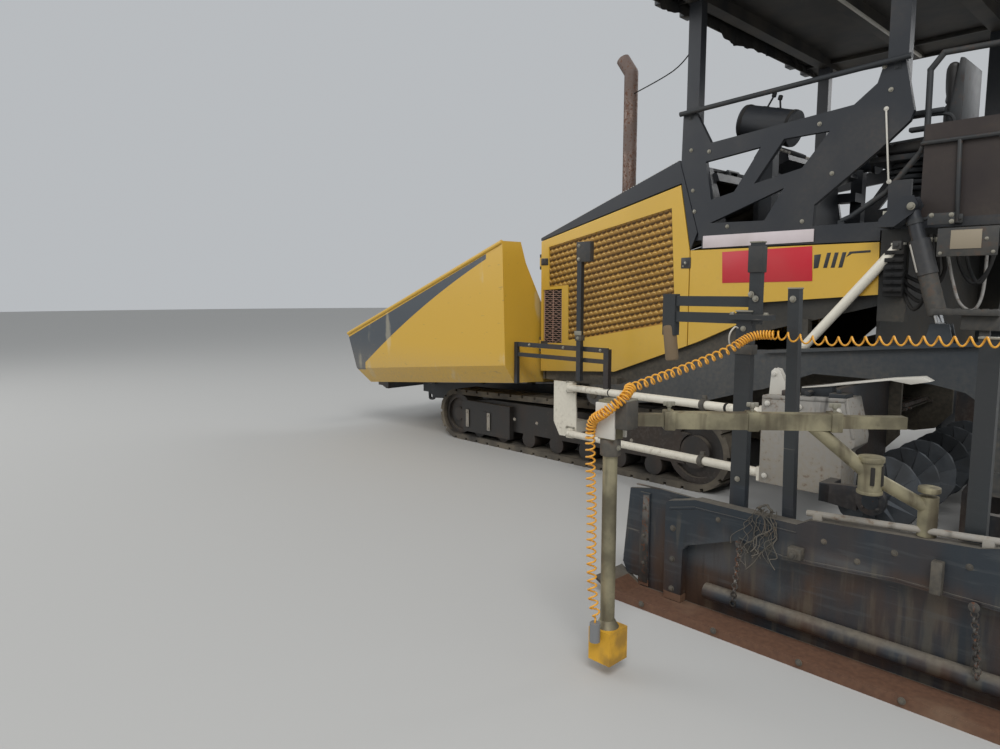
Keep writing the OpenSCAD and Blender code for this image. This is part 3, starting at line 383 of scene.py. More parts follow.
# %% Finishes with a border
def gate_paint():
    """Tar-black walls on a rusty runner."""
    f = Finish("gate paint")
    wide = f.cloud(1.7, 4)
    runs = f.cloud(5, 5, (1, 1, 0.22))
    fine = f.cloud(45, 5)
    runner_top, post_foot, gate_face = 0.058, 0.67, 3.135
    runner = (f.z < runner_top) * (f.y.size() > gate_face)
    up = f.facing_up(0.35, 0.95)
    wall = 1 - f.z.step(0.44, 0.50)
    stained = (wide * 0.55 + runs * 0.6).step(0.46, 0.70) * (0.35 + wall * 0.6)
    post = f.z > post_foot
    bare = f.cloud(3.1, 5, (0.5, 1, 1)).step(0.5, 0.72) * wall * 0.55
    drip = f.cloud(19, 6, (1, 1, 0.1))
    pale_drip = drip.step(0.52, 0.66) * (0.06 + wall * 0.3)
    dark_drip = drip.step(0.30, 0.44) * -0.45 * wall + 0.45 * wall
    rub = f.cloud(26, 4, (0.15, 1, 1.5)).step(0.56, 0.66) * 0.2
    ledge = (up * (fine * 0.8 + 0.3) * 0.75).clamped()
    scuff = f.cloud(12, 3, (0.25, 1, 2.2)).step(0.72, 0.78) * 0.4
    rusty = f.layers(tone(118, 84, 62), (fine, tone(74, 50, 38)), (wide.step(0.5, 0.7) * 0.6, tone(140, 118, 96)))
    colour = f.layers(
        tone(38, 46, 53), (stained, tone(70, 50, 36)), (bare, tone(78, 84, 88)), (pale_drip, tone(100, 92, 76)),
        (dark_drip, tone(36, 31, 28)), (rub, tone(84, 88, 88)), (post * 0.8, tone(44, 47, 48)),
        (ledge, tone(128, 120, 106)), (scuff, tone(134, 128, 116)), (runner, rusty),
    )
    rough = (0.45 + runner * 0.3 + up * 0.3 - scuff * 0.2).clamped()
    return f.show(colour, rough, bump=fine + runs * 0.8, strength=0.35, depth=0.003)


def sensor_paint():
    """Dull zinc with olive grime, and a yellow foot."""
    f = Finish("sensor paint")
    wide = f.cloud(6, 5)
    fine = f.cloud(50, 4)
    run = f.cloud(12, 4, (1, 1, 0.1))
    foot_top, foot_inside = 0.2003, 3.86
    foot = (f.z < foot_top) * (f.y.size() > foot_inside)
    foot_yellow = f.mix(wide.step(0.5, 0.66) * 0.6, tone(214, 162, 44), tone(120, 92, 48))
    colour = f.layers(tone(158, 150, 122), (wide.step(0.35, 0.65), tone(104, 98, 80)),
                      (run.step(0.50, 0.64) * 0.65, tone(78, 68, 54)), (foot, foot_yellow),
                      (fine.step(0.62, 0.8) * 0.4, tone(92, 84, 70)))
    rough = (0.5 + foot * 0.1 + fine * 0.15).clamped()
    return f.show(colour, rough, (0.45 - foot * 0.45).clamped(), fine, 0.25)


gate_finish = gate_paint()
sensor_finish = sensor_paint()
print("two-part finishes:", gate_finish.name, sensor_finish.name)

# %% [markdown]
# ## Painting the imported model
# Each node of the model keeps its mesh and gets a finish. A node that is left out here would keep the flat
# colour of the record, so the loop ends by listing any that were missed.

# %% Give every node a finish
finish_of = {
    "chassis": band_black, "track_frame": under_skin, "hopper_floor": work_black, "push_beam": work_black,
    "track": track_rubber, "slat_conveyor": chain_steel, "push_roller": chain_steel, "wing": wing_paint,
    "engine_door": yellow_paint, "grille": louvre_paint, "cowl_shoulders": black_paint, "hood_lid": black_paint,
    "engine_block": engine_grey, "exhaust_pipe": exhaust_metal, "operator_floor": black_paint,
    "rear_panels": yellow_paint, "side_frames": black_paint, "roof_posts": black_paint, "roof": black_paint,
    "console": black_paint, "seats": seat_vinyl, "handrails": post_black, "ladder": black_paint,
    "rear_screens": brown_panel_paint,
    "auger_hanger": work_black, "auger": auger_steel, "tunnel": plate_grey, "brace": white_tube_paint,
    "sensor_bars": work_black, "lift_barrel": black_paint, "lift_rod": chrome, "tow_arm": anthracite_paint,
    "screed_body": work_black, "extension": work_black, "end_gate": gate_finish, "grade_sensor": sensor_finish,
    "control_box": post_black, "curly_cable": cable_orange, "cable_plug": plug_plastic,
}
missed = []
for name, node in nodes.items():
    kind = name.removesuffix("_left").removesuffix("_right")
    if kind not in finish_of:
        missed.append(name)
        continue
    node.data.materials.clear()
    node.data.materials.append(finish_of[kind])
print("nodes without a finish:", missed)

# %% [markdown]
# ## The curly cord
# An orange curly cord runs from the control box at the rear of the left end gate, along the posts, to the top
# of the grade sensor, and down to its plug beside the sensor's foot. It is a helix: the wire is 8 mm thick and
# its turns are 44 mm across. Where it is stretched its turns are far apart, and where it passes a post they lie
# close. The line that it follows is the same list of points as in the model's source, smoothed.

# %% The cord's route
wire = 0.008
turn_radius = 0.018
route = [Vector(p) / 1000 for p in (
    (-3400, 3165, 1400), (-3250, 3165, 1400), (-3100, 3165, 1410), (-2800, 3165, 1400), (-2500, 3165, 1385),
    (-2300, 3170, 1400), (-2200, 3200, 1390), (-2140, 3300, 1330), (-2080, 3500, 1270), (-2040, 3700, 1230),
    (-2020, 3860, 1200), (-2060, 3920, 1210), (-2080, 3990, 1180), (-2020, 4030, 1120), (-1940, 4010, 1060),
    (-1920, 3990, 900), (-1930, 3990, 700), (-1940, 4000, 500), (-1970, 4025, 350), (-1990, 4032, 280),
    (-1990, 4032, 240),
)]


def smooth_line(points, steps):
    """A Catmull-Rom curve through the points, with that many steps between two of them."""
    line = []
    for i in range(len(points) - 1):
        a, b, c, d = (points[min(max(i + k, 0), len(points) - 1)] for k in (-1, 0, 1, 2))
        for k in range(steps):
            t = k / steps
            line.append(0.5 * (2 * b + (c - a) * t + (2 * a - 5 * b + 4 * c - d) * t * t
                               + (3 * b - a - 3 * c + d) * t ** 3))
    line.append(points[-1])
    return line


centre_line = smooth_line(route, 24)
line_length = sum((b - a).length for a, b in zip(centre_line, centre_line[1:]))
print("the cord's line is", round(line_length, 3), "m long")

# %% [markdown]
# A curly cord has one coil direction all along, but the spacing of its turns changes with how hard it is
# pulled. The helix is worked out point by point: a frame is carried along the line without twisting, and the
# wire turns round it by one whole turn for each pitch.

# %% The helix
# (metres along the line, metres from one turn to the next there)
pitches = [(0, 0.05), (1.05, 0.055), (1.12, 0.013), (1.26, 0.013), (1.34, 0.042), (1.9, 0.040), (2.05, 0.016),
           (2.30, 0.016), (2.4, 0.030), (line_length, 0.036)]


def pitch_at(s):
    """The spacing of the turns at s metres along the line."""
    for (a, low), (b, high) in zip(pitches, pitches[1:]):
        if s <= b:
            return low + (high - low) * (s - a) / (b - a)
    return pitches[-1][1]


def helix(line, radius, points_per_turn):
    """The wire's own line, coiled round the centre line; its ends run straight into plug and gland."""
    marks = [0.0]
    for a, b in zip(line, line[1:]):
        marks.append(marks[-1] + (b - a).length)
    total = marks[-1]
    wound = [line[0]]
    side = (line[1] - line[0]).cross(Vector((0.3, 0.2, 1))).normalized()
    straight, easing = 0.012, 0.03
    s, turn, i = straight, 0.0, 0
    while s < total - straight:
        while marks[i + 1] < s:
            i += 1
        along = (line[i + 1] - line[i]).normalized()
        here = line[i].lerp(line[i + 1], (s - marks[i]) / (marks[i + 1] - marks[i]))
        side = (side - along * side.dot(along)).normalized()
        reach = radius * min(1, (s - straight) / easing, (total - straight - s) / easing)
        angle = 2 * math.pi * turn
        wound.append(here + reach * (math.cos(angle) * side + math.sin(angle) * along.cross(side)))
        step = pitch_at(s) / points_per_turn
        s += step
        turn += 1 / points_per_turn
    wound.append(line[-1])
    return wound, turn


def round_curve(name, line, radius):
    """A curve through the points with a round section and closed ends."""
    curve = bpy.data.curves.new(name, "CURVE")
    curve.dimensions = "3D"
    curve.bevel_depth = radius
    curve.bevel_resolution = 2
    curve.use_fill_caps = True
    spline = curve.splines.new("POLY")
    spline.points.add(len(line) - 1)
    for point, place in zip(spline.points, line):
        point.co = (*place, 1)
    made = bpy.data.objects.new(name, curve)
    scene.collection.objects.link(made)
    return made


wire_line, turns = helix(centre_line, turn_radius, 12)
wire_length = sum((b - a).length for a, b in zip(wire_line, wire_line[1:]))
cord = round_curve("curly_cord", wire_line, wire / 2)
cord.data.materials.append(cable_orange)
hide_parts("curly_cable")
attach(cord, "gate_left")
tuple(wire_line[0])
print("turns:", round(turns), "wire:", round(wire_length, 2), "m, points:", len(wire_line))

# %% [markdown]
# ## Tools for modelling
# Everything that follows is made as it would be by hand: add a primitive, shape it in edit mode, finish it with
# a modifier, apply. An operator works on all that is selected, so `alone` first selects just what is meant. A
# finished group of parts is joined by `dress`, which also names it, paints it and lets it ride on its body.

# %% Bodies in pairs, and two directions
tractor_sides = ("tractor", "tractor")
screed_sides = ("screed", "screed")
doors = ("tractor", "door_right")
gates = ("gate_left", "gate_right")
barrels = ("barrel_left", "barrel_right")
rods = ("rod_left", "rod_right")
plumb = (0, 0, 1)
outward = (0, 1, 0)
print("a piece for two bodies is made on the left and mirrored to the right")


# %% Selecting and applying
def alone(*pieces):
    """Selects these pieces and nothing else."""
    bpy.ops.object.select_all(action="DESELECT")
    for piece in pieces:
        piece.select_set(True)
    if pieces:
        bpy.context.view_layer.objects.active = pieces[0]


def modify(piece, kind, **settings):
    """Adds one modifier and applies it."""
    modifier = piece.modifiers.new(kind.lower(), kind)
    for key, value in settings.items():
        setattr(modifier, key, value)
    alone(piece)
    bpy.ops.object.modifier_apply(modifier=modifier.name)
    return piece


def eased(piece, width):
    """Bakes the piece's place into its mesh and rounds its sharp edges a little."""
    alone(piece)
    bpy.ops.object.transform_apply(location=True, rotation=True, scale=True)
    if width:
        modify(piece, "BEVEL", width=width, segments=2, limit_method="ANGLE")
    return piece


# %% Blocks, flat bars and round bars
def block(low, high, ease=0.003):
    """A block between two corners."""
    alone()
    bpy.ops.mesh.primitive_cube_add(size=1, location=[(a + b) / 2 for a, b in zip(low, high)])
    piece = bpy.context.object
    piece.scale = [b - a for a, b in zip(low, high)]
    return eased(piece, ease)


def flat_bar(start, end, wide, thick, side=plumb, ease=0.002):
    """A flat bar from start to end; side is the way in which it is wide."""
    start, end = Vector(start), Vector(end)
    along = (end - start).normalized()
    flat = along.cross(Vector(side)).normalized()
    alone()
    bpy.ops.mesh.primitive_cube_add(size=1)
    piece = bpy.context.object
    turn = Matrix((along, flat.cross(along), flat)).transposed().to_4x4()
    size = Matrix.Diagonal(((end - start).length, wide, thick, 1))
    piece.matrix_world = Matrix.Translation((start + end) / 2) @ turn @ size
    return eased(piece, ease)


def round_bar(start, end, radius, sides=20, ease=0.002, ends="NGON"):
    """A round bar with eased ends, or a bare tube where its ends are left open."""
    start, end = Vector(start), Vector(end)
    alone()
    bpy.ops.mesh.primitive_cylinder_add(
        vertices=sides, radius=radius, depth=(end - start).length, location=(start + end) / 2,
        rotation=(end - start).to_track_quat("Z", "Y").to_euler(), end_fill_type=ends,
    )
    return eased(bpy.context.object, ease)


def upright(x, y, low, high, radius, sides=20, ease=0.002):
    """A round bar or disc that stands upright."""
    return round_bar((x, y, low), (x, y, high), radius, sides, ease)


def pin(x, z, inner, outer, radius, sides=20, ease=0.002):
    """A round bar or disc that lies across the machine."""
    return round_bar((x, inner, z), (x, outer, z), radius, sides, ease)


# %% Cut sheets, bent tubes and chains
def sheet_cut(outline, axis, low, high, ease=0.0015):
    """Sheet metal cut to an outline that lies across an axis, as thick as from low to high along it."""
    alone()
    bpy.ops.mesh.primitive_circle_add(vertices=len(outline), fill_type="NGON", location=(0, 0, 0))
    piece = bpy.context.object
    for vertex, (a, b) in zip(piece.data.vertices, outline):
        vertex.co = {"x": (low, a, b), "y": (a, low, b), "z": (a, b, low)}[axis]
    rise = [(high - low) * (axis == k) for k in "xyz"]
    bpy.ops.object.mode_set(mode="EDIT")
    bpy.ops.mesh.select_all(action="SELECT")
    bpy.ops.mesh.extrude_region_move(TRANSFORM_OT_translate={"value": rise})
    bpy.ops.mesh.select_all(action="SELECT")
    bpy.ops.mesh.normals_make_consistent(inside=False)
    bpy.ops.object.mode_set(mode="OBJECT")
    return eased(piece, ease)


def bent_tube(points, radius, steps=8, smooth=True):
    """A tube or hose through the points, closed at both ends."""
    points = [Vector(p) for p in points]
    alone(round_curve("bend", smooth_line(points, steps) if smooth else points, radius))
    bpy.ops.object.convert(target="MESH")
    return bpy.context.object


def chain(start, end):
    """Round links from start to end, each turned a quarter against the last."""
    link, thick = 0.030, 0.0035
    start, end = Vector(start), Vector(end)
    count = max(2, round((end - start).length / (link * 0.72)))
    alone()
    bpy.ops.mesh.primitive_torus_add(major_radius=link * 0.42, minor_radius=thick, major_segments=12,
                                     minor_segments=6, rotation=(math.pi / 2, 0, 0))
    first = bpy.context.object
    first.scale.z = 1.25
    eased(first, 0)
    turn = (end - start).to_track_quat("Z", "Y").to_matrix().to_4x4()
    made = []
    for k in range(count):
        place = start.lerp(end, (k + 0.5) / count)
        twin = copy_to(first, (0, 0, 0))
        twin.data.transform(Matrix.Translation(place) @ turn @ Matrix.Rotation(k * math.pi / 2, 4, "Z"))
        made.append(twin)
    bpy.data.objects.remove(first)
    return made


# %% Copies, bolts and finished groups
def copy_to(source, place, towards=None, size=1.0):
    """A copy with its own mesh, at a place, and with its top turned towards a direction if one is given."""
    twin = source.copy()
    twin.data = source.data.copy()
    scene.collection.objects.link(twin)
    turn = Vector(towards).to_track_quat("Z", "Y") if towards else None
    twin.data.transform(Matrix.LocRotScale(Vector(place), turn, Vector((size, size, size))))
    return twin


def mirrored(piece):
    """The same piece on the machine's right side."""
    twin = copy_to(piece, (0, 0, 0))
    twin.data.transform(Matrix.Diagonal((1, -1, 1, 1)))
    twin.data.flip_normals()
    return twin


alone()
bpy.ops.mesh.primitive_cylinder_add(vertices=16, radius=1.5, depth=0.3, location=(0, 0, 0.12))
washer = eased(bpy.context.object, 0.06)
bpy.ops.mesh.primitive_cylinder_add(vertices=6, radius=1.05, depth=0.9, location=(0, 0, 0.65))
bolt_head = eased(bpy.context.object, 0.12)
alone(bolt_head, washer)
bpy.ops.object.join()


def bolts(places, radius, towards=outward):
    """Bolt heads with washers at the places, their tops turned outwards or as asked."""
    return [copy_to(bolt_head, place, towards, radius) for place in places]


def dress(name, pieces, body, finish, angle=35):
    """Joins the pieces into one that rides on a body. For two bodies, a mirrored twin rides on the second."""
    alone(*pieces)
    if len(pieces) > 1:
        bpy.ops.object.join()
    whole = bpy.context.object
    bpy.ops.object.shade_smooth_by_angle(angle=math.radians(angle))
    whole.data.materials.clear()
    whole.data.materials.append(finish)
    made = [whole, mirrored(whole)] if isinstance(body, tuple) else [whole]
    names = [name + "_left", name + "_right"] if len(made) == 2 else [name]
    carriers = body if len(made) == 2 else [body]
    for piece, called, carrier in zip(made, names, carriers):
        piece.name = piece.data.name = called
        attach(piece, carrier)
    print(name, "faces:", len(whole.data.polygons))
    return made


# %% [markdown]
# ## The louvred side panels
# The engine's side panels are pressed sheet: rows of small scoops that stand out at their top and run back into
# the sheet below. A strip with a wavy edge would be quicker, but each scoop throws its own highlight in the
# photograph. So one scoop is made from a sphere, leaned out at its top, and copied along rows that drop toward
# the front.

# %% One scoop and its rows
louvre_outline = [(0.782, 1.994), (-0.520, 2.243), (-0.578, 1.346), (0.217, 1.198), (0.540, 1.147),
                  (0.547, 1.645), (0.778, 1.628)]
row_drop = math.tan(math.radians(10.9))
row_pitch = 0.054
scoop_pitch = 0.052
scoop_size = (0.0285, 0.012, 0.027)
sheet_face = 1.2535


def within(outline, a, b):
    """Whether a point lies inside an outline."""
    odd = False
    for (a0, b0), (a1, b1) in zip(outline, outline[1:] + outline[:1]):
        if (b0 > b) != (b1 > b) and a < (a1 - a0) * (b - b0) / (b1 - b0) + a0:
            odd = not odd
    return odd


def touches(outline, x, z, reach):
    """Whether a small square round a point reaches into an outline."""
    return any(within(outline, x + a, z + b) for a in (-reach, reach) for b in (-reach, reach))


alone()
bpy.ops.mesh.primitive_uv_sphere_add(segments=12, ring_count=6, radius=1, location=(0, 0, 0))
scoop = bpy.context.object
scoop.scale = scoop_size
eased(scoop, 0)
for vertex in scoop.data.vertices:
    lean = vertex.co.z / scoop_size[2]
    vertex.co.y += 0.006 * lean
    vertex.co.z -= vertex.co.x * row_drop
first_x, first_z, level_x = -0.62, 0.90, 0.8
scoops = []
for row in range(26):
    for k in range(30):
        x = first_x + (k + 0.5 * (row % 2)) * scoop_pitch
        z = first_z + row * row_pitch - (x - level_x) * row_drop
        if touches(louvre_outline, x, z, 0.016):
            scoops.append(copy_to(scoop, (x, sheet_face, z)))
print("scoops on a side:", len(scoops))

# %% Louvre sheets and the mesh beside them
louvre_sheet = sheet_cut(louvre_outline, "y", 1.2470, sheet_face, 0)
louvres = dress("louvres", [louvre_sheet] + scoops, doors, louvre_paint, 60)
strands = []
for row in range(25):
    z = 1.118 + row * 0.0200
    wave = [(0.622 + k * 0.0370, 1.262, z - 0.008 + 0.0045 * (-1) ** (k + row)) for k in range(7)]
    strands.append(bent_tube(wave, 0.0022, smooth=False))
strands += [upright(x, 1.2585, 1.112, 1.603, 0.003, 8) for x in (0.628, 0.735, 0.840)]
dress("mesh_panel", strands, doors, mesh_tan)
# A deep black sheet behind the mesh: painted shade for the dark space seen through it.
shade_sheet = sheet_cut([(0.612, 1.113), (0.848, 1.099), (0.853, 1.603), (0.617, 1.615)], "y", 1.2475, 1.2520, 0)
dress("mesh_shade_sheet", [shade_sheet], doors, deep_black)
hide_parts("grille_left")
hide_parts("grille_right")
bpy.data.objects.remove(scoop)

# %% [markdown]
# ## Plates and trim on the tractor's side
# The photograph shows a red plate and a pale band on the left side, and both stay blank here. Beside the plate
# are the dark slanted stripes of the paint scheme. They are cut from thin sheet, and each stands one millimetre
# or more off the panel, so that no two faces lie in one plane.

# %% Red plate, pale band and slanted stripes
side = 1.270


def on_side(outline, low=0, high=0.0015, ease=0.0015):
    """Thin sheet on the tractor's side panel, from low to high metres off its face."""
    return sheet_cut(outline, "y", side + low, side + high, ease)


plate_corners = [(-0.970, 1.883), (-1.642, 1.899), (-1.654, 1.661), (-0.979, 1.652)]
dress("red_plate", [on_side(plate_corners, 0, 0.003, 0.001)], "tractor", sign_red)
band_corners = [(-0.804, 1.918), (-0.804, 2.010), (-1.647, 2.014), (-1.647, 1.928)]
dress("pale_band", [on_side(band_corners, -0.006, 0.002, 0.001)], "tractor", band_pale)
stripes = [on_side([(-1.658, 1.745), (-1.658, 1.838), (-1.705, 1.842), (-1.690, 1.750)])]
for x in (-1.722, -1.772, -1.822):
    stripes.append(on_side([(x, 1.748), (x - 0.026, 1.749), (x - 0.048, 1.850), (x - 0.022, 1.849)]))
stripes.append(on_side([(-1.868, 1.815), (-1.890, 1.852), (-2.020, 1.857), (-2.020, 1.842), (-1.905, 1.838)]))
dress("side_stripes", stripes, tractor_sides, black_paint)

# %% Door latch, dotted trim and panel joints
latch = [block((-0.705, side - 0.004, 1.768), (-0.620, side + 0.006, 1.852), 0.004)]
latch.append(pin(-0.662, 1.810, side + 0.004, side + 0.011, 0.026, 24))
dress("door_latch", latch, doors, black_paint)
latch_centre = [pin(-0.662, 1.810, side + 0.010, side + 0.014, 0.011, 16)]
latch_centre += bolts([(-0.640, side + 0.006, 1.785)], 0.005)
dress("latch_centre", latch_centre, doors, zinc)
edge_from = Vector((0.870, 1.258, 2.086))
edge_to = Vector((-0.560, 1.258, 2.598))
rivets = bolts([edge_from.lerp(edge_to, k / 58) for k in range(59)], 0.0042, (0.2, 0.1, 1))
dress("cowl_edge_dots", rivets, tractor_sides, pale_steel)
hinge_straps = []
for z in (1.050, 1.820):
    hinge_straps.append(block((0.790, side - 0.003, z + 0.008), (0.876, side + 0.005, z + 0.072)))
    hinge_straps += bolts([(x, side + 0.005, z + h) for x in (0.808, 0.850) for h in (0.022, 0.058)], 0.006)
dress("door_hinge_straps", hinge_straps, doors, black_paint)

# %% Bolts and thin rods on the side frames
frame_face = 1.265
truss_bolts = bolts([(x, frame_face, z) for x, z in (
    (-0.675, 2.665), (-0.829, 2.636), (-1.648, 2.706), (-1.746, 2.372), (-2.037, 2.992), (-2.082, 2.845),
    (-0.700, 2.360), (-0.720, 2.200), (-1.560, 2.070), (-1.000, 2.070))], 0.010)
dress("frame_bolts", truss_bolts, tractor_sides, zinc)
stays = [round_bar((-2.062, 1.271, 2.732), (-2.102, 1.271, 2.279), 0.006, 10)]
dress("frame_stay", stays + bolts([(-2.062, 1.266, 2.732), (-2.102, 1.262, 2.281)], 0.010), "tractor",
      pale_steel)
stay_line = [(0.175, 0.92, 3.282), (-0.30, 0.97, 3.385), (-0.60, 1.15, 3.46), (-0.655, 1.185, 3.499)]
dress("exhaust_stay", [bent_tube(stay_line, 0.005, 6)], "tractor", deep_black)
rail_brackets = []
for x, z in ((-0.665, 2.943), (-2.115, 3.010)):
    rail_brackets.append(block((x - 0.020, 1.262, z - 0.050), (x + 0.020, 1.268, z + 0.020), 0.002))
    rail_brackets += bolts([(x, 1.268, z - 0.036)], 0.007)
dress("rail_brackets", rail_brackets, tractor_sides, post_black)

# %% [markdown]
# ## Under the roof
# The roof's underside is lined with dark felt, which has come loose and hangs in a ragged edge at the front.
# The edge is one strip of a grid. Its hem follows a list of measured heights, seeded random numbers and two
# waves ruffle it, and then it gets its thickness.

# %% Roof lining and lamps
roof_rear, roof_front = -2.760, -0.440
chance = random.Random(7)
# (y, height) of the hem, from the left side to the right
ragged = [(1.40, 3.718), (1.15, 3.752), (0.90, 3.772), (0.56, 3.774), (0.34, 3.703), (0.0, 3.742),
          (-0.41, 3.757), (-0.79, 3.813), (-1.21, 3.773), (-1.42, 3.80)]
alone()
bpy.ops.mesh.primitive_grid_add(x_subdivisions=96, y_subdivisions=5, size=1)
lining = bpy.context.object
for vertex in lining.data.vertices:
    y = vertex.co.x * 2.84
    down = 0.5 - vertex.co.y
    for (y0, z0), (y1, z1) in zip(ragged, ragged[1:]):
        if y1 <= y <= y0:
            hem = z0 + (z1 - z0) * (y0 - y) / (y0 - y1)
    drop = (3.862 - abs(y) * 0.03 - hem) * down
    ruffle = math.sin(y * 31) * 0.012 + math.sin(y * 73 + 1) * 0.006 + chance.uniform(-0.004, 0.004)
    vertex.co = (-0.462 + ruffle * down, y, 3.858 - abs(y) * 0.03 - drop + chance.uniform(-0.006, 0.006) * down)
modify(lining, "SOLIDIFY", thickness=0.004)
modify(lining, "SUBSURF", levels=1)
dress("roof_lining_edge", [lining], "tractor", felt_black, angle=80)
lamp_bodies = []
lenses = []
for x, way in ((roof_front, 1), (roof_rear, -1)):
    rim = x + way * 0.070
    for y in (-1.30, -0.95, 0.95, 1.30):
        low, high = sorted((x - way * 0.004, rim))
        lamp_bodies.append(block((low, y - 0.060, 3.775), (high, y + 0.060, 3.862), 0.010))
        low, high = sorted((rim, rim + way * 0.005))
        lenses.append(block((low, y - 0.050, 3.784), (high, y + 0.050, 3.853)))
dress("roof_lamps", lamp_bodies, "tractor", black_paint)
dress("roof_lamp_lenses", lenses, "tractor", lamp_lens)

# %% [markdown]
# ## The roof
# The roof is one folded sheet, open underneath, with cross beams inside that stand on the posts. Its section is
# drawn once and pushed along the machine, and the beams are pieces of the same section.

# %% Roof sheet and its beams
roof_skin = [(-1.5, 3.765), (-1.5, 3.805), (-0.9, 3.875), (0.9, 3.875), (1.5, 3.805), (1.5, 3.765)]
roof_inside = [(1.488, 3.765), (1.488, 3.7945), (0.8995, 3.863),
               (-0.8995, 3.863), (-1.488, 3.7945), (-1.488, 3.765)]
roof_filled = [(-1.490, 3.767), (-1.490, 3.7965), (-0.8995, 3.865),
               (0.8995, 3.865), (1.490, 3.7965), (1.490, 3.767)]
roof_parts = [sheet_cut(roof_skin + roof_inside, "x", roof_rear, roof_front, 0)]
roof_parts += [sheet_cut(roof_filled, "x", x, x + 0.012, 0) for x in (-2.7595, -0.4525)]
for low, high in ((-2.160, -2.040), (-1.440, -1.334), (-0.706, -0.600)):
    roof_parts.append(sheet_cut(roof_filled, "x", low, high, 0))
for y in (-1.18, 1.18):
    roof_parts.append(block((-2.750, y - 0.012, 3.800), (-0.450, y + 0.012, 3.835), 0.002))
roofs = dress("roof_sheet", roof_parts, "tractor", roof_black)
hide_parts("roof")
rib = [block((-1.445, -1.40, 3.748), (-1.425, 1.40, 3.770))]
dress("roof_rib", rib, "tractor", pale_steel)

# %% [markdown]
# ## The seats
# Each seat has a moulded base on a pillar with a bellows, two arm rests, a seat cushion and a back cushion. The
# cushions are padded vinyl. A block with rounded edges is remeshed evenly and blown up as cloth, so that it
# swells between its corners; how far a point may move is capped. The sewn channels are pressed in afterwards.


# %% Padded cushions
def padded_block(low, high, cap, channels, level):
    """A cushion blown up inside its box: it starts a little smaller, and channels are sewn lines across it."""
    pad = block([a + level for a in low], [b - level for b in high], 0.028)
    modify(pad, "REMESH", mode="VOXEL", voxel_size=0.008)
    start = [vertex.co.copy() for vertex in pad.data.vertices]
    cloth = pad.modifiers.new("cloth", "CLOTH")
    cloth.settings.use_pressure = True
    cloth.settings.uniform_pressure_force = 4
    cloth.settings.effector_weights.gravity = 0
    for step in range(1, 21):
        scene.frame_set(step)
    alone(pad)
    bpy.ops.object.modifier_apply(modifier="cloth")
    for vertex, was in zip(pad.data.vertices, start):
        moved = vertex.co - was
        if moved.length > cap:
            vertex.co = was + moved * (cap / moved.length)
    modify(pad, "SUBSURF", levels=1)
    middle = (Vector(low) + Vector(high)) / 2
    half = (Vector(high) - Vector(low)) / 2
    thin = min(range(3), key=lambda k: half[k])
    sewn = 0.010
    for vertex in pad.data.vertices:
        off = vertex.co - middle
        for axis, at in channels:
            depth = sewn * math.exp(-((off[axis] - at) / sewn) ** 2)
            vertex.co[thin] -= math.copysign(depth, off[thin]) if abs(off[thin]) > half[thin] * 0.5 else 0
    for vertex in pad.data.vertices:
        vertex.co = [min(max(vertex.co[k], low[k]), high[k]) for k in range(3)]
    return pad


def upholstered(name, pad):
    """Names and paints a cushion on each side of the platform."""
    for piece in dress(name, [pad], tractor_sides, seat_vinyl, 80):
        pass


swell, inset = 0.016, 0.014
cushion = padded_block((-2.350, 0.625, 2.470), (-1.900, 1.075, 2.560), swell,
                       [(1, -0.13), (1, 0.13), (0, 0.10)], inset)
upholstered("seat_cushion", cushion)
back = padded_block((-2.400, 0.640, 2.580), (-2.310, 1.060, 3.035), swell,
                    [(1, -0.12), (1, 0.12), (2, -0.05)], inset)
upholstered("seat_back", back)

# %% Seat base, bellows, pillar and arm rests
base_outline = [(-2.360, 0.620), (-1.915, 0.620), (-1.900, 0.650), (-1.900, 1.050), (-1.915, 1.080),
                (-2.360, 1.080)]
back_outline = [(-2.425, 2.450), (-2.330, 2.440), (-2.330, 2.560), (-2.396, 3.020), (-2.425, 3.010)]
base_parts = [sheet_cut(base_outline, "z", 2.436, 2.474, 0.008),
              sheet_cut(back_outline, "y", 0.650, 1.050, 0.008)]
pillar_x, pillar_y = -2.130, 0.850
for k in range(5):
    z = 2.250 + 0.038 * k
    base_parts.append(upright(pillar_x, pillar_y, z, z + 0.028, 0.150 + 0.012 * (k % 2), 24, 0.006))
base_parts.append(block((-2.290, 0.700, 2.034), (-1.970, 1.000, 2.060), 0.004))
base_parts.append(upright(pillar_x, pillar_y, 2.058, 2.445, 0.070, 24))
for y in (0.625, 1.075):
    out = math.copysign(0.020, y - pillar_y)
    arm_line = [(-2.400, y + out * 0.4, 2.600), (-2.360, y + out, 2.680), (-2.120, y + out, 2.690)]
    base_parts.append(bent_tube(arm_line, 0.012))
    base_parts.append(block((-2.350, y + out - 0.030, 2.690), (-2.000, y + out + 0.030, 2.722), 0.010))
bases = dress("seat_base", base_parts, tractor_sides, post_black)
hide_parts("seats")

# %% [markdown]
# ## Controls
# On the console's slope stand two blank screens and rows of switches. Each round pod beside a seat carries two
# levers with knobs, and a ring round each of its ends.

# %% Screens, switches and levers
slope = (Vector((-1.180, 0, 2.640)) - Vector((-0.960, 0, 2.740))).normalized()
slope_up = Vector((-0.414, 0, 0.910))
panel_mid = Vector((-1.070, 0, 2.694))
screens, glass, switches = [], [], []
for y in (-0.42, 0.42):
    centre = panel_mid + Vector((0, y, 0)) + slope_up * 0.012
    screens.append(flat_bar(centre - slope * 0.075, centre + slope * 0.075, 0.260, 0.028, outward, 0.006))
    front = centre + slope_up * 0.014
    glass.append(flat_bar(front - slope * 0.058, front + slope * 0.058, 0.220, 0.004, outward, 0.001))
    for k in range(10):
        for way in (-1, 1):
            down = slope * (-0.070 + 0.035 * (k % 5))
            foot = panel_mid + Vector((0, y + way * 0.165, 0)) + down + Vector((0, way * 0.035 * (k // 5), 0))
            switches.append(round_bar(foot, foot + slope_up * 0.018, 0.009, 10))
dress("console_screens", screens, "tractor", post_black)
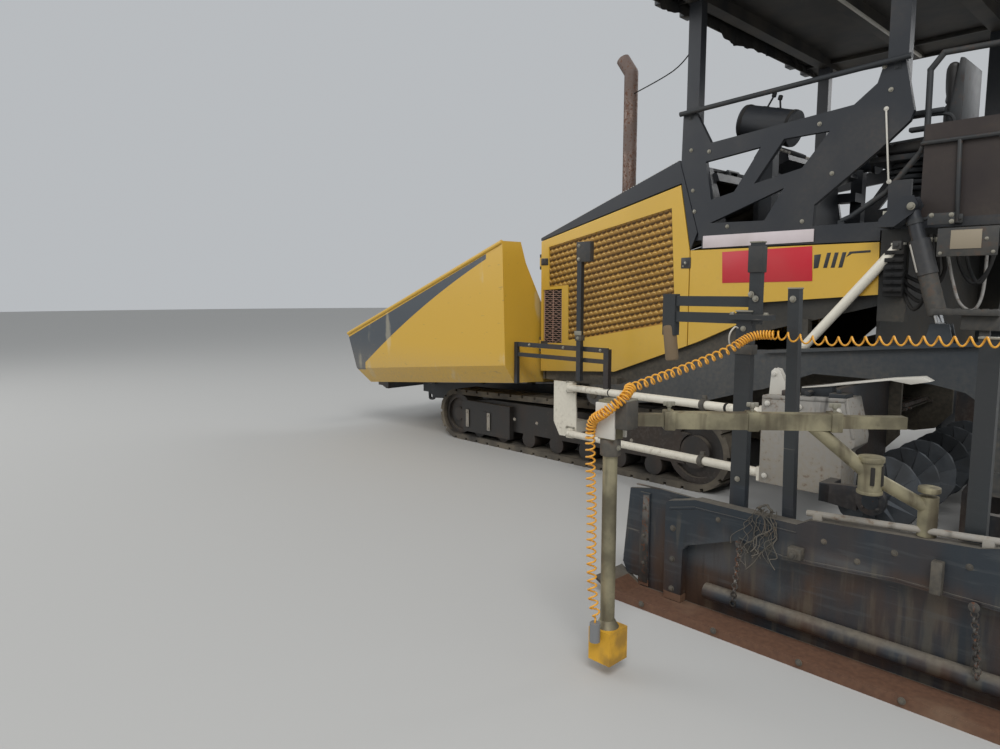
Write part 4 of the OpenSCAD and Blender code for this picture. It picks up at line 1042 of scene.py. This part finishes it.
dress("console_glass", glass, "tractor", deep_black)
dress("console_switches", switches, "tractor", pale_steel)
levers = []
pod_front, pod_rear = Vector((-0.920, 0.900, 2.890)), Vector((-1.320, 0.900, 2.780))
pod_up = Vector((-0.265, 0, 0.964))
for t, lean in ((0.35, -0.03), (0.62, 0.03)):
    foot = pod_front.lerp(pod_rear, t) + pod_up * 0.118
    top = foot + pod_up * 0.085 + Vector((lean, 0, 0))
    levers.append(round_bar(foot, top, 0.007, 12))
    levers.append(round_bar(top - pod_up * 0.012, top + pod_up * 0.026, 0.017, 16, 0.008))
    levers.append(round_bar(foot - pod_up * 0.006, foot + pod_up * 0.012, 0.032, 20, 0.004))
pod_way = (pod_rear - pod_front).normalized()
for t in (0.06, 0.94):
    ring = pod_front.lerp(pod_rear, t)
    levers.append(round_bar(ring - pod_way * 0.012, ring + pod_way * 0.012, 0.134, 40, 0.004))
dress("pod_levers", levers, tractor_sides, deep_black)

# %% [markdown]
# ## Hardware on the end gate
# The gate is bolted together and scraped bright in use. Bright worn strips are thin sheets on its edges, the
# rims are flat bars, and two short chains hang from pins in its wall.

# %% Worn strips, rims and bolts
face = 3.182
gate_strips = [
    sheet_cut([(-1.583, 0.040), (-1.600, 0.520), (-1.636, 0.525), (-1.636, 0.040)], "y", 3.137, 3.1405),
    sheet_cut([(-1.548, 3.112), (-1.548, 3.131), (-1.700, 3.131), (-1.700, 3.112)], "z", 0.5640, 0.5680, 0.001),
]
dress("gate_worn_edges", gate_strips, gates, chain_steel)
rims = [flat_bar((x0, face, z0), (x1, face, z1), wide, thick) for x0, z0, x1, z1, wide, thick in (
    (-1.790, 0.498, -1.936, 0.532, 0.012, 0.008), (-1.936, 0.532, -2.440, 0.529, 0.008, 0.006),
    (-2.170, 0.436, -2.385, 0.404, 0.010, 0.006), (-2.385, 0.404, -2.850, 0.438, 0.010, 0.006),
    (-2.850, 0.438, -3.550, 0.424, 0.010, 0.006))]
dress("gate_rims", rims, gates, gate_finish)
gate_bolts = bolts([(-1.812, face - 0.002, z) for z in (0.078, 0.236, 0.398)], 0.011)
gate_bolts += bolts([(x, face - 0.002, z) for x, z in (
    (-2.060, 0.500), (-2.300, 0.490), (-2.560, 0.520), (-2.840, 0.545), (-3.100, 0.560), (-3.400, 0.590),
    (-2.700, 0.470), (-3.250, 0.480))], 0.009)
gate_bolts += bolts([(-1.610, 3.138, z) for z in (0.150, 0.300, 0.450)], 0.009)
gate_bolts += bolts([(x, 3.354, 0.030) for x in (-1.750, -2.150, -2.550, -2.950, -3.350)], 0.010)
dress("gate_bolts", gate_bolts, gates, post_black)

# %% Top tube, bracket, crank and chains
tube_at = 3.150
top_tube = [round_bar((-2.470, tube_at, 0.622), (-3.190, tube_at, 0.673), 0.014, 16)]
for x, z in ((-2.520, 0.600), (-3.150, 0.640)):
    top_tube.append(block((x - 0.020, tube_at - 0.016, z - 0.010), (x + 0.020, tube_at + 0.016, z + 0.030)))
dress("gate_top_tube", top_tube, gates, plate_grey)
crank = [block((-2.480, 3.180, 0.420), (-2.420, 3.222, 0.470), 0.004),
         pin(-2.450, 0.445, 3.175, 3.236, 0.016, 16),
         block((-3.020, 3.180, 0.430), (-2.980, 3.220, 0.560), 0.004)]
crank += bolts([(-2.450, 3.234, 0.445)], 0.012)
dress("gate_crank", crank, gates, post_black)
hangers = chain((-2.182, 3.192, 0.412), (-2.157, 3.196, 0.104))
hangers += chain((-3.128, 3.192, 0.420), (-3.156, 3.196, 0.140))
for x in (-2.182, -3.128):
    hangers.append(pin(x, 0.416, 3.176, 3.206, 0.007, 12))
    hangers.append(pin(x, 0.416, 3.198, 3.202, 0.020, 20, 0.001))
dress("gate_chains", hangers, gates, chain_steel, 60)

# %% Frayed wires and a knot on the gate
frays = []
fray_chance = random.Random(11)
for k in range(14):
    top = Vector((-2.285 + fray_chance.uniform(-0.05, 0.05), 3.152, 0.590 + fray_chance.uniform(-0.01, 0.01)))
    run = [top]
    for _ in range(7):
        run.append(run[-1] + Vector((fray_chance.uniform(-0.035, 0.035), fray_chance.uniform(0.004, 0.020),
                                     fray_chance.uniform(-0.052, -0.012))))
    run = [Vector((p.x, max(p.y, 3.1865) if p.z < 0.585 else p.y, p.z)) for p in run]
    frays.append(bent_tube(run, 0.0016 if k % 3 else 0.0026, 4))
knot = [Vector((-2.285 + 0.028 * math.cos(a) * (1 + 0.3 * math.sin(5 * a)), 3.160 + 0.010 * math.sin(3 * a),
                0.592 + 0.024 * math.sin(a))) for a in [0.5 * k for k in range(26)]]
frays.append(bent_tube(knot, 0.005, 4))
dress("tied_wires", frays, "gate_left", post_black, angle=80)

# %% [markdown]
# ## Posts and clamps
# The two posts of the gate carry caps, bolts and clamp plates, and the two parallel arms end in a block with a
# rubber stop below it.

# %% Caps, bolts, sleeves, the stop and a hook
post_caps = [block((-2.192, 3.068, 1.815), (-2.130, 3.114, 1.822), 0.002),
             block((-2.160, 3.068, 1.498), (-2.074, 3.117, 1.506), 0.002),
             block((-2.374, 3.072, 1.604), (-2.318, 3.116, 1.611), 0.002),
             block((-3.135, 3.068, 1.418), (-3.055, 3.117, 1.426), 0.002)]
post_face = 3.114
post_caps += bolts([(x, post_face, z) for x, z in ((-2.148, 1.580), (-2.170, 1.560), (-2.345, 1.560))], 0.010)
post_caps += bolts([(-2.115, post_face, z) for z in (0.70, 1.36, 1.42)], 0.009)
post_caps += bolts([(x, 3.118, 1.486) for x in (-2.225, -2.060)], 0.010, plumb)
dress("post_caps", post_caps, gates, zinc)
sleeve = [block((-2.196, 3.066, 1.680), (-2.126, 3.118, 1.800), 0.004),
          block((-2.166, 3.066, 1.300), (-2.068, 3.119, 1.345))]
dress("post_sleeves", sleeve, gates, post_black)
stop = [round_bar((-1.702, 3.060, 1.238), (-1.678, 3.058, 1.420), 0.034, 24, 0.012)]
dress("rubber_stop", stop, gates, stop_brown)
hook_wire = [(-2.080, 3.114, 1.330), (-2.082, 3.150, 1.330), (-2.085, 3.185, 1.360), (-2.095, 3.200, 1.400),
             (-2.110, 3.185, 1.430), (-2.112, 3.160, 1.425)]
dress("cable_hook", [bent_tube(hook_wire, 0.004)], "gate_left", pale_steel)

# %% [markdown]
# ## The grade sensor's clamps
# The square tube slides in sleeves that are held by wing screws. Its end carries a pale clamp plate and a dark
# housing with a grey lid, and the foot stands in a dark cup.

# %% Sleeves, wing screws, housing and cup
arm_angle = math.radians(42)
arm_way = Vector((-math.cos(arm_angle), -math.sin(arm_angle), 0))
arm_side = Vector((-arm_way.y, arm_way.x, 0))
arm_zero = Vector((-1.990, 3.950, 1.080))


def on_arm(along, beside, above):
    """A point by its distance along the square tube, beside it and above its middle."""
    return arm_zero + arm_way * along + arm_side * beside + Vector((0, 0, above))


collars, screws = [], []
for along in (0.232, 0.560, 0.880):
    low, high = on_arm(along - 0.022, 0, 0), on_arm(along + 0.022, 0, 0)
    collars.append(flat_bar(low, high, 0.076, 0.076, plumb, 0.004))
    screws.append(round_bar(on_arm(along, 0, 0.036), on_arm(along, 0, 0.062), 0.007, 12))
    low, high = on_arm(along - 0.024, 0, 0.066), on_arm(along + 0.024, 0, 0.066)
    screws.append(flat_bar(low, high, 0.018, 0.006, plumb, 0.003))
    screws.append(round_bar(on_arm(along, 0, 0.052), on_arm(along, 0, 0.074), 0.011, 14, 0.003))
dress("arm_collars", collars, gates, sensor_finish)
screws += bolts([on_arm(0.0, 0.038, 0.052), on_arm(0.0, 0.038, -0.012)], 0.013, arm_side)
dress("wing_screws", screws, gates, zinc)
clamp_plate = [block((-2.040, 3.983, 1.006), (-1.945, 3.995, 1.150)),
               block((-2.040, 3.905, 1.006), (-1.945, 3.917, 1.150))]
dress("clamp_plate", clamp_plate, gates, pale_steel)
housing = [block((-2.098, 3.912, 1.050), (-2.020, 3.988, 1.166), 0.006),
           upright(-1.990, 3.950, 0.930, 1.002, 0.042, 28, 0.006)]
dress("sensor_housing", housing, gates, post_black)
lid = [block((-2.096, 3.914, 1.164), (-2.022, 3.986, 1.172), 0.002)]
lid += bolts([(-2.030, 3.950, 0.966)], 0.008, (-1, 0, 0))
dress("housing_lid", lid, gates, zinc)
joint_parts = [upright(-2.765, 3.285, 0.926, 0.948, 0.050, 32, 0.004),
               upright(-2.765, 3.285, 0.798, 0.812, 0.048, 32, 0.003),
               upright(-2.935, 3.130, 0.806, 0.828, 0.041, 28, 0.004)]
dress("link_joints", joint_parts, gates, sensor_finish)
# The deep black blocks are painted shade where the open slots in the joints are.
slot_shade = [block((-2.813, 3.275, 0.835), (-2.804, 3.295, 0.915), 0.002),
         block((-2.795, 3.322, 0.840), (-2.780, 3.331, 0.912), 0.002)]
dress("joint_slot_shade", slot_shade, gates, deep_black)

# %% [markdown]
# ## The auger channel's outer end
# The solid model has a plain box here. The photograph shows a dark front wall, a scraped box with a leaning
# back that stands on it, and a low arm out to the auger's end bearing, so these pieces take its place.

# %% Channel wall, end box and bearing arm
bearing_x, bearing_z, bolt_circle = -2.400, 0.450, 0.055
arm_outline = [(-2.122, 0.398), (-2.122, 0.505), (-2.330, 0.520), (-2.330, 0.380)]
channel = [block((-2.000, 0.680, 0.380), (-1.960, 1.785, 0.980), 0.004),
           sheet_cut(arm_outline, "y", 2.118, 2.156, 0.004),
           pin(bearing_x, bearing_z, 2.118, 2.158, 0.078, 32, 0.004),
           block((-2.182, 1.990, 0.395), (-2.120, 2.156, 0.505), 0.004)]
channel += bolts([(bearing_x + bolt_circle * math.cos(a), 2.157, bearing_z + bolt_circle * math.sin(a))
                  for a in (0.8, 2.4, 3.9, 5.5)], 0.008)
channels = dress("auger_channel", channel, tractor_sides, work_black)
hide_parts("tunnel_left")
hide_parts("tunnel_right")
box_outline = [(-1.680, 0.390), (-1.680, 0.948), (-2.196, 0.976), (-2.250, 0.751), (-2.246, 0.700),
               (-2.180, 0.640), (-2.180, 0.390)]
end_box = [sheet_cut(box_outline, "y", 1.782, 1.999, 0.008),
           flat_bar((-1.690, 2.001, 0.940), (-2.190, 2.001, 0.968), 0.022, 0.008),
           flat_bar((-2.190, 2.001, 0.965), (-2.240, 2.001, 0.752), 0.018, 0.008)]
dress("channel_end_box", end_box, tractor_sides, plate_grey)
clevis = [sheet_cut([(-1.690, 0.930), (-1.700, 1.095), (-1.720, 1.115), (-1.750, 1.110), (-1.812, 0.990),
                     (-1.812, 0.930)], "y", y, y + 0.012) for y in (1.875, 1.913)]
clevis.append(pin(-1.722, 1.080, 1.860, 1.940, 0.014, 16))
clevis.append(sheet_cut([(-1.905, 1.008), (-1.903, 1.014), (-2.394, 1.109), (-2.551, 1.131), (-2.593, 1.108),
                         (-2.500, 1.085), (-2.394, 1.098), (-2.060, 1.032)], "y", 1.850, 1.940, 0.002))
clevis += bolts([(x, 2.004, z) for x, z in ((-1.720, 0.900), (-1.720, 0.440), (-2.130, 0.440), (-2.150, 0.900),
                                            (-1.920, 0.900))], 0.012)
dress("end_box_fittings", clevis, tractor_sides, pale_steel)
catch_outline = [(-1.890, 0.955), (-1.895, 1.016), (-2.075, 1.050), (-2.085, 0.965)]
catches = [sheet_cut(catch_outline, "y", 1.862, 1.930, 0.004),
           block((-2.180, 1.870, 0.962), (-2.085, 1.992, 1.000), 0.005),
           block((-1.850, 1.930, 0.950), (-1.800, 1.990, 0.990), 0.005),
           pin(-1.960, 0.985, 1.920, 1.996, 0.016, 18),
           upright(-2.130, 1.960, 0.995, 1.022, 0.014, 18)]
dress("box_catches", catches, tractor_sides, work_black)

# %% [markdown]
# ## Brace tubes
# The white tubes are clamped to a white plate with silver saddles. Dark tar marks and a clamp ring sit along
# each of them.

# %% Saddles, clamp rings, tar marks and strut ends
tube_ends = [(Vector((0.330, 1.485, 0.750)), Vector((-1.670, 1.950, 0.830))),
             (Vector((0.330, 1.485, 0.340)), Vector((-1.670, 1.950, 0.440)))]
marks, rings = [], []
for n, (start, end) in enumerate(tube_ends):
    way = (end - start).normalized()
    for t, reach in ((0.27, 0.005), (0.86, 0.010)):
        at = start.lerp(end, t + 0.04 * n)
        marks.append(round_bar(at - way * reach, at + way * reach, 0.0335, 24, 0.001))
    at = start.lerp(end, 0.76)
    rings.append(round_bar(at - way * 0.020, at + way * 0.020, 0.043, 28, 0.004))
    rings.append(block((at.x - 0.016, at.y - 0.012, at.z + 0.030), (at.x + 0.016, at.y + 0.012, at.z + 0.066)))
dress("tar_marks", marks, tractor_sides, deep_black)
dress("tube_rings", rings, tractor_sides, post_black)
saddle_heights = (0.750, 0.345)
saddles = [block((0.300, 1.444, z - 0.050), (0.395, 1.452, z + 0.050)) for z in saddle_heights]
saddles += bolts([(x, 1.452, z + h) for z in saddle_heights for h in (-0.038, 0.038)
                  for x in (0.312, 0.384)], 0.010)
dress("tube_saddles", saddles, tractor_sides, zinc)
strut_caps = [block((-2.222, 1.285, 1.852), (-2.168, 1.340, 1.905), 0.006),
              block((-1.632, 1.285, 1.140), (-1.578, 1.340, 1.196), 0.006)]
strut_caps += bolts([(-2.196, 1.339, 1.880), (-1.604, 1.339, 1.168)], 0.012)
dress("strut_ends", strut_caps, tractor_sides, post_black)

# %% [markdown]
# ## The platform's rear corner
# Below the platform's rear corner the lift cylinder carries thick guard sleeves, hoses loop down to a valve
# block, and a small blank plate is fixed on the left corner.

# %% Blank plate, skirt and small plates
skirt_face = 1.4275
blank_plate = block((-2.666, skirt_face, 1.837), (-2.510, skirt_face + 0.004, 1.945), 0.001)
dress("blank_plate", [blank_plate], "tractor", label_beige)
skirt = [block((-2.745, 1.416, 1.795), (-2.440, 1.428, 1.960)),
         block((-2.523, 1.424, 1.980), (-2.385, 1.438, 2.048))]
dress("corner_skirt", skirt, tractor_sides, post_black)
small = [block((-2.113, 1.262, 2.040), (-2.080, 1.271, 2.099), 0.001)]
small += bolts([(x, 1.437, z) for x, z in ((-2.508, 2.034), (-2.511, 1.996), (-2.405, 2.038))], 0.009)
small += bolts([(x, skirt_face, z) for x, z in ((-2.725, 1.815), (-2.460, 1.815), (-2.690, 1.89))], 0.007)
small += bolts([(-2.294, 1.446, 2.099)], 0.016)
dress("corner_plates", small, tractor_sides, zinc)

# %% Guard sleeves and gland on the lift cylinder
lift_foot, lift_top = Vector((-2.480, 1.370, 1.360)), Vector((-2.270, 1.370, 2.110))
up_lift = (lift_top - lift_foot).normalized()


def sleeve(low, high, radius, wall):
    """A tube with a wall, open at both ends, between two distances up the lift cylinder."""
    shell = round_bar(lift_foot + up_lift * low, lift_foot + up_lift * high, radius, 40, 0, "NOTHING")
    return modify(shell, "SOLIDIFY", thickness=wall, offset=-1)


guard = [sleeve(0.095, 0.365, 0.053, 0.005)]
guard += [sleeve(at - 0.008, at + 0.008, 0.0542, 0.002) for at in (0.110, 0.225)]
upper_guard = [sleeve(0.345, 0.560, 0.060, 0.005)]
dress("barrel_guard", upper_guard, barrels, black_paint)
dress("lift_guard", guard, rods, post_black)
port = lift_foot + up_lift * 0.675
gland = [sleeve(0.660, 0.690, 0.048, 0.007),
         round_bar(port + Vector((-0.045, 0, 0.012)), port + Vector((-0.085, 0, 0.024)), 0.011, 14)]
dress("cylinder_gland", gland, barrels, post_black)
skin = lift_foot + Vector((0.0413, 0.0430, -0.0116))
flake = [flat_bar(skin + up_lift * 0.370, skin + up_lift * 0.545, 0.014, 0.0025, (0.7, -0.7, -0.2), 0.0005)]
dress("paint_flake", flake, "barrel_left", pale_steel)

# %% Hoses, their fittings and the valve block
hoses, fittings = [], []
for k in range(4):
    x = -2.330 - 0.034 * k
    y = 1.272 + 0.008 * (k % 2)
    deep = 1.500 + 0.050 * k
    hoses.append(bent_tube([(x, y, 1.935), (x - 0.012, 1.280, 1.800), (x - 0.020, 1.284, deep + 0.06),
                            (x + 0.030, 1.284, deep - 0.020), (-2.256, 1.276, deep + 0.030),
                            (-2.236, 1.262, deep + 0.070)], 0.012))
    fittings.append(upright(x, y, 1.918, 1.890, 0.016, 6))
for k in range(2):
    hoses.append(bent_tube([(-2.500 - 0.045 * k, 1.240, 1.940), (-2.520 - 0.045 * k, 1.255, 1.760),
                            (-2.600 - 0.03 * k, 1.265, 1.640), (-2.680, 1.255, 1.740),
                            (-2.690 - 0.03 * k, 1.240, 1.940)], 0.010))
dress("corner_hoses", hoses, tractor_sides, deep_black, 80)
dress("hose_fittings", fittings, tractor_sides, zinc)
valves = [block((-2.236, 1.262, 1.560), (-2.120, 1.322, 1.880), 0.004)]
for k in range(6):
    valves.append(block((-2.238, 1.318, 1.590 + 0.046 * k), (-2.128, 1.340, 1.616 + 0.046 * k)))
valves += bolts([(-2.180, 1.340, 1.603 + 0.046 * k) for k in range(6)], 0.006)
dress("valve_block", valves, tractor_sides, deep_black)
pale_hose = bent_tube([(-2.430, 1.300, 1.930), (-2.472, 1.305, 1.800), (-2.505, 1.300, 1.650),
                       (-2.545, 1.280, 1.520), (-2.600, 1.200, 1.480), (-2.620, 1.100, 1.600),
                       (-2.620, 1.080, 1.930)], 0.010)
dress("pale_hose", [pale_hose], "tractor", plate_grey, angle=80)

# %% Step plate on the tow arm
step = [block((-2.790, 1.447, 1.455), (-2.450, 1.502, 1.490), 0.004),
        block((-2.790, 1.417, 1.370), (-2.600, 1.462, 1.456), 0.004),
        block((-2.740, 1.400, 1.275), (-2.690, 1.440, 1.371))]
step += [block((-2.780 + 0.046 * k, 1.452, 1.489), (-2.756 + 0.046 * k, 1.497, 1.494), 0.001) for k in range(7)]
dress("arm_step", step, screed_sides, post_black)

# %% [markdown]
# ## Small things on the tractor's front half
# The sensor bar has a wider head and a silver joint, the track guard has two bolted strips, and each push
# roller has a flange at both ends.

# %% Bar head, guard strips and roller ends
bar_head = [block((-0.015, 1.605, 1.829), (0.130, 1.656, 1.992), 0.004)]
bar_head.append(block((0.070, 1.604, 1.180), (0.135, 1.656, 1.225)))
dress("bar_head", bar_head, tractor_sides, post_black)
joint = [block((0.066, 1.650, 1.226), (0.139, 1.660, 1.262), 0.002)]
joint += bolts([(0.102, 1.656, z) for z in (1.202, 1.850, 1.960)], 0.010)
joint += bolts([(x, 1.612, 1.110) for x in (-0.100, 0.300, 0.700)], 0.009)
dress("bar_joint", joint, tractor_sides, zinc)
strip_places = (1.905, 1.580)
strips = [block((x - 0.022, 1.292, 0.160), (x + 0.022, 1.299, 0.345)) for x in strip_places]
strips += bolts([(x, 1.298, z) for x in strip_places for z in (0.185, 0.320)], 0.009)
strips += bolts([(x, 1.293, 0.330) for x in (1.20, 0.90, 0.20, -0.20)], 0.011)
dress("guard_strips", strips, tractor_sides, plate_grey)
roller_ends = [pin(3.665, 0.480, y + way * 0.002, y + way * 0.016, 0.045, 28, 0.003)
               for y in (0.040, 1.110) for way in (-1, 1)]
dress("roller_ends", roller_ends, tractor_sides, zinc)

# %% [markdown]
# ## The rail on the brown screen
# A middle rail runs back from the bent grab rail along the outside of the brown screen, on one post. It is a
# plain bent tube with a flat lug at the back and one at the post's foot.

# %% Screen rail
rail_line = [(-2.700, 1.276, 2.488), (-2.330, 1.276, 2.488), (-2.282, 1.262, 2.488), (-2.274, 1.205, 2.488)]
screen_rail = [
    bent_tube(rail_line, 0.013),
    round_bar((-2.498, 1.276, 1.998), (-2.484, 1.276, 2.486), 0.013),
    block((-2.528, 1.262, 1.996), (-2.470, 1.281, 2.050)),
    block((-2.712, 1.258, 2.470), (-2.676, 1.281, 2.506)),
]
screen_rail += bolts([(x, 1.281, 2.023) for x in (-2.516, -2.481)], 0.006)
dress("screen_rail", screen_rail, tractor_sides, post_black)

# %% [markdown]
# ## The right side, the back and the top
# Nothing of these shows in the photograph, so they carry only what such a machine has there. Most of it is
# mirrored from the left side. Two more things are made here: grips on the hood's lid, and ribbed treads on the
# rear ladder.

# %% Lid grips and ladder treads
grips = [bent_tube([(0.700, y - 0.07, 2.132), (0.700, y - 0.07, 2.185), (0.700, y + 0.07, 2.185),
                    (0.700, y + 0.07, 2.132)], 0.009, 6) for y in (-0.45, 0.45)]
dress("lid_grips", grips, "hood", zinc)
treads = [block((-2.798, y, z - 0.008), (-2.764, y + 0.034, z + 0.006), 0.002)
          for z in (1.234, 1.484, 1.734, 1.984) for y in [-0.290 + 0.068 * k for k in range(9)]]
dress("ladder_treads", treads, "tractor", zinc)

# %% [markdown]
# ## Light and floor
# A wide soft lamp stands high behind the camera. A weaker one off the machine's front fills its shadows, so
# that the black parts keep their shapes, and a third lights the far side. The world is a plain pale grey. The
# floor is a disc that reaches past the view, and it counts as a stage, not as a piece of the paver.

# %% Stage
bpy.ops.object.select_all(action="DESELECT")
bpy.ops.mesh.primitive_circle_add(vertices=96, radius=60, fill_type="NGON", location=(0, 0, 0))
floor = bpy.context.object
floor.name = "floor"
floor_finish = Finish("pale floor")
floor.data.materials.append(floor_finish.show(tone(186, 185, 182), 0.9))

world = bpy.data.worlds.new("pale room")
scene.world = world
world.use_nodes = True
background = world.node_tree.nodes["Background"]
background.inputs["Color"].default_value = tone(228, 232, 236)
background.inputs["Strength"].default_value = 0.62


def lamp(name, place, target, size, watts):
    """A round lamp of that size, aimed at a target."""
    aim = (Vector(target) - Vector(place)).to_track_quat("-Z", "Y").to_euler()
    bpy.ops.object.light_add(type="AREA", location=place, rotation=aim)
    made = bpy.context.object
    made.name = name
    made.data.shape = "DISK"
    made.data.size = size
    made.data.energy = watts


lamp("key lamp", (-9, 11, 12), (0, 1, 1), 7, 1250)
lamp("fill lamp", (10, 10, 7), (0, 0, 1), 9, 420)
lamp("back lamp", (-4, -11, 9), (0, 0, 1.5), 9, 560)

# %% Finish
bpy.data.objects.remove(bolt_head)
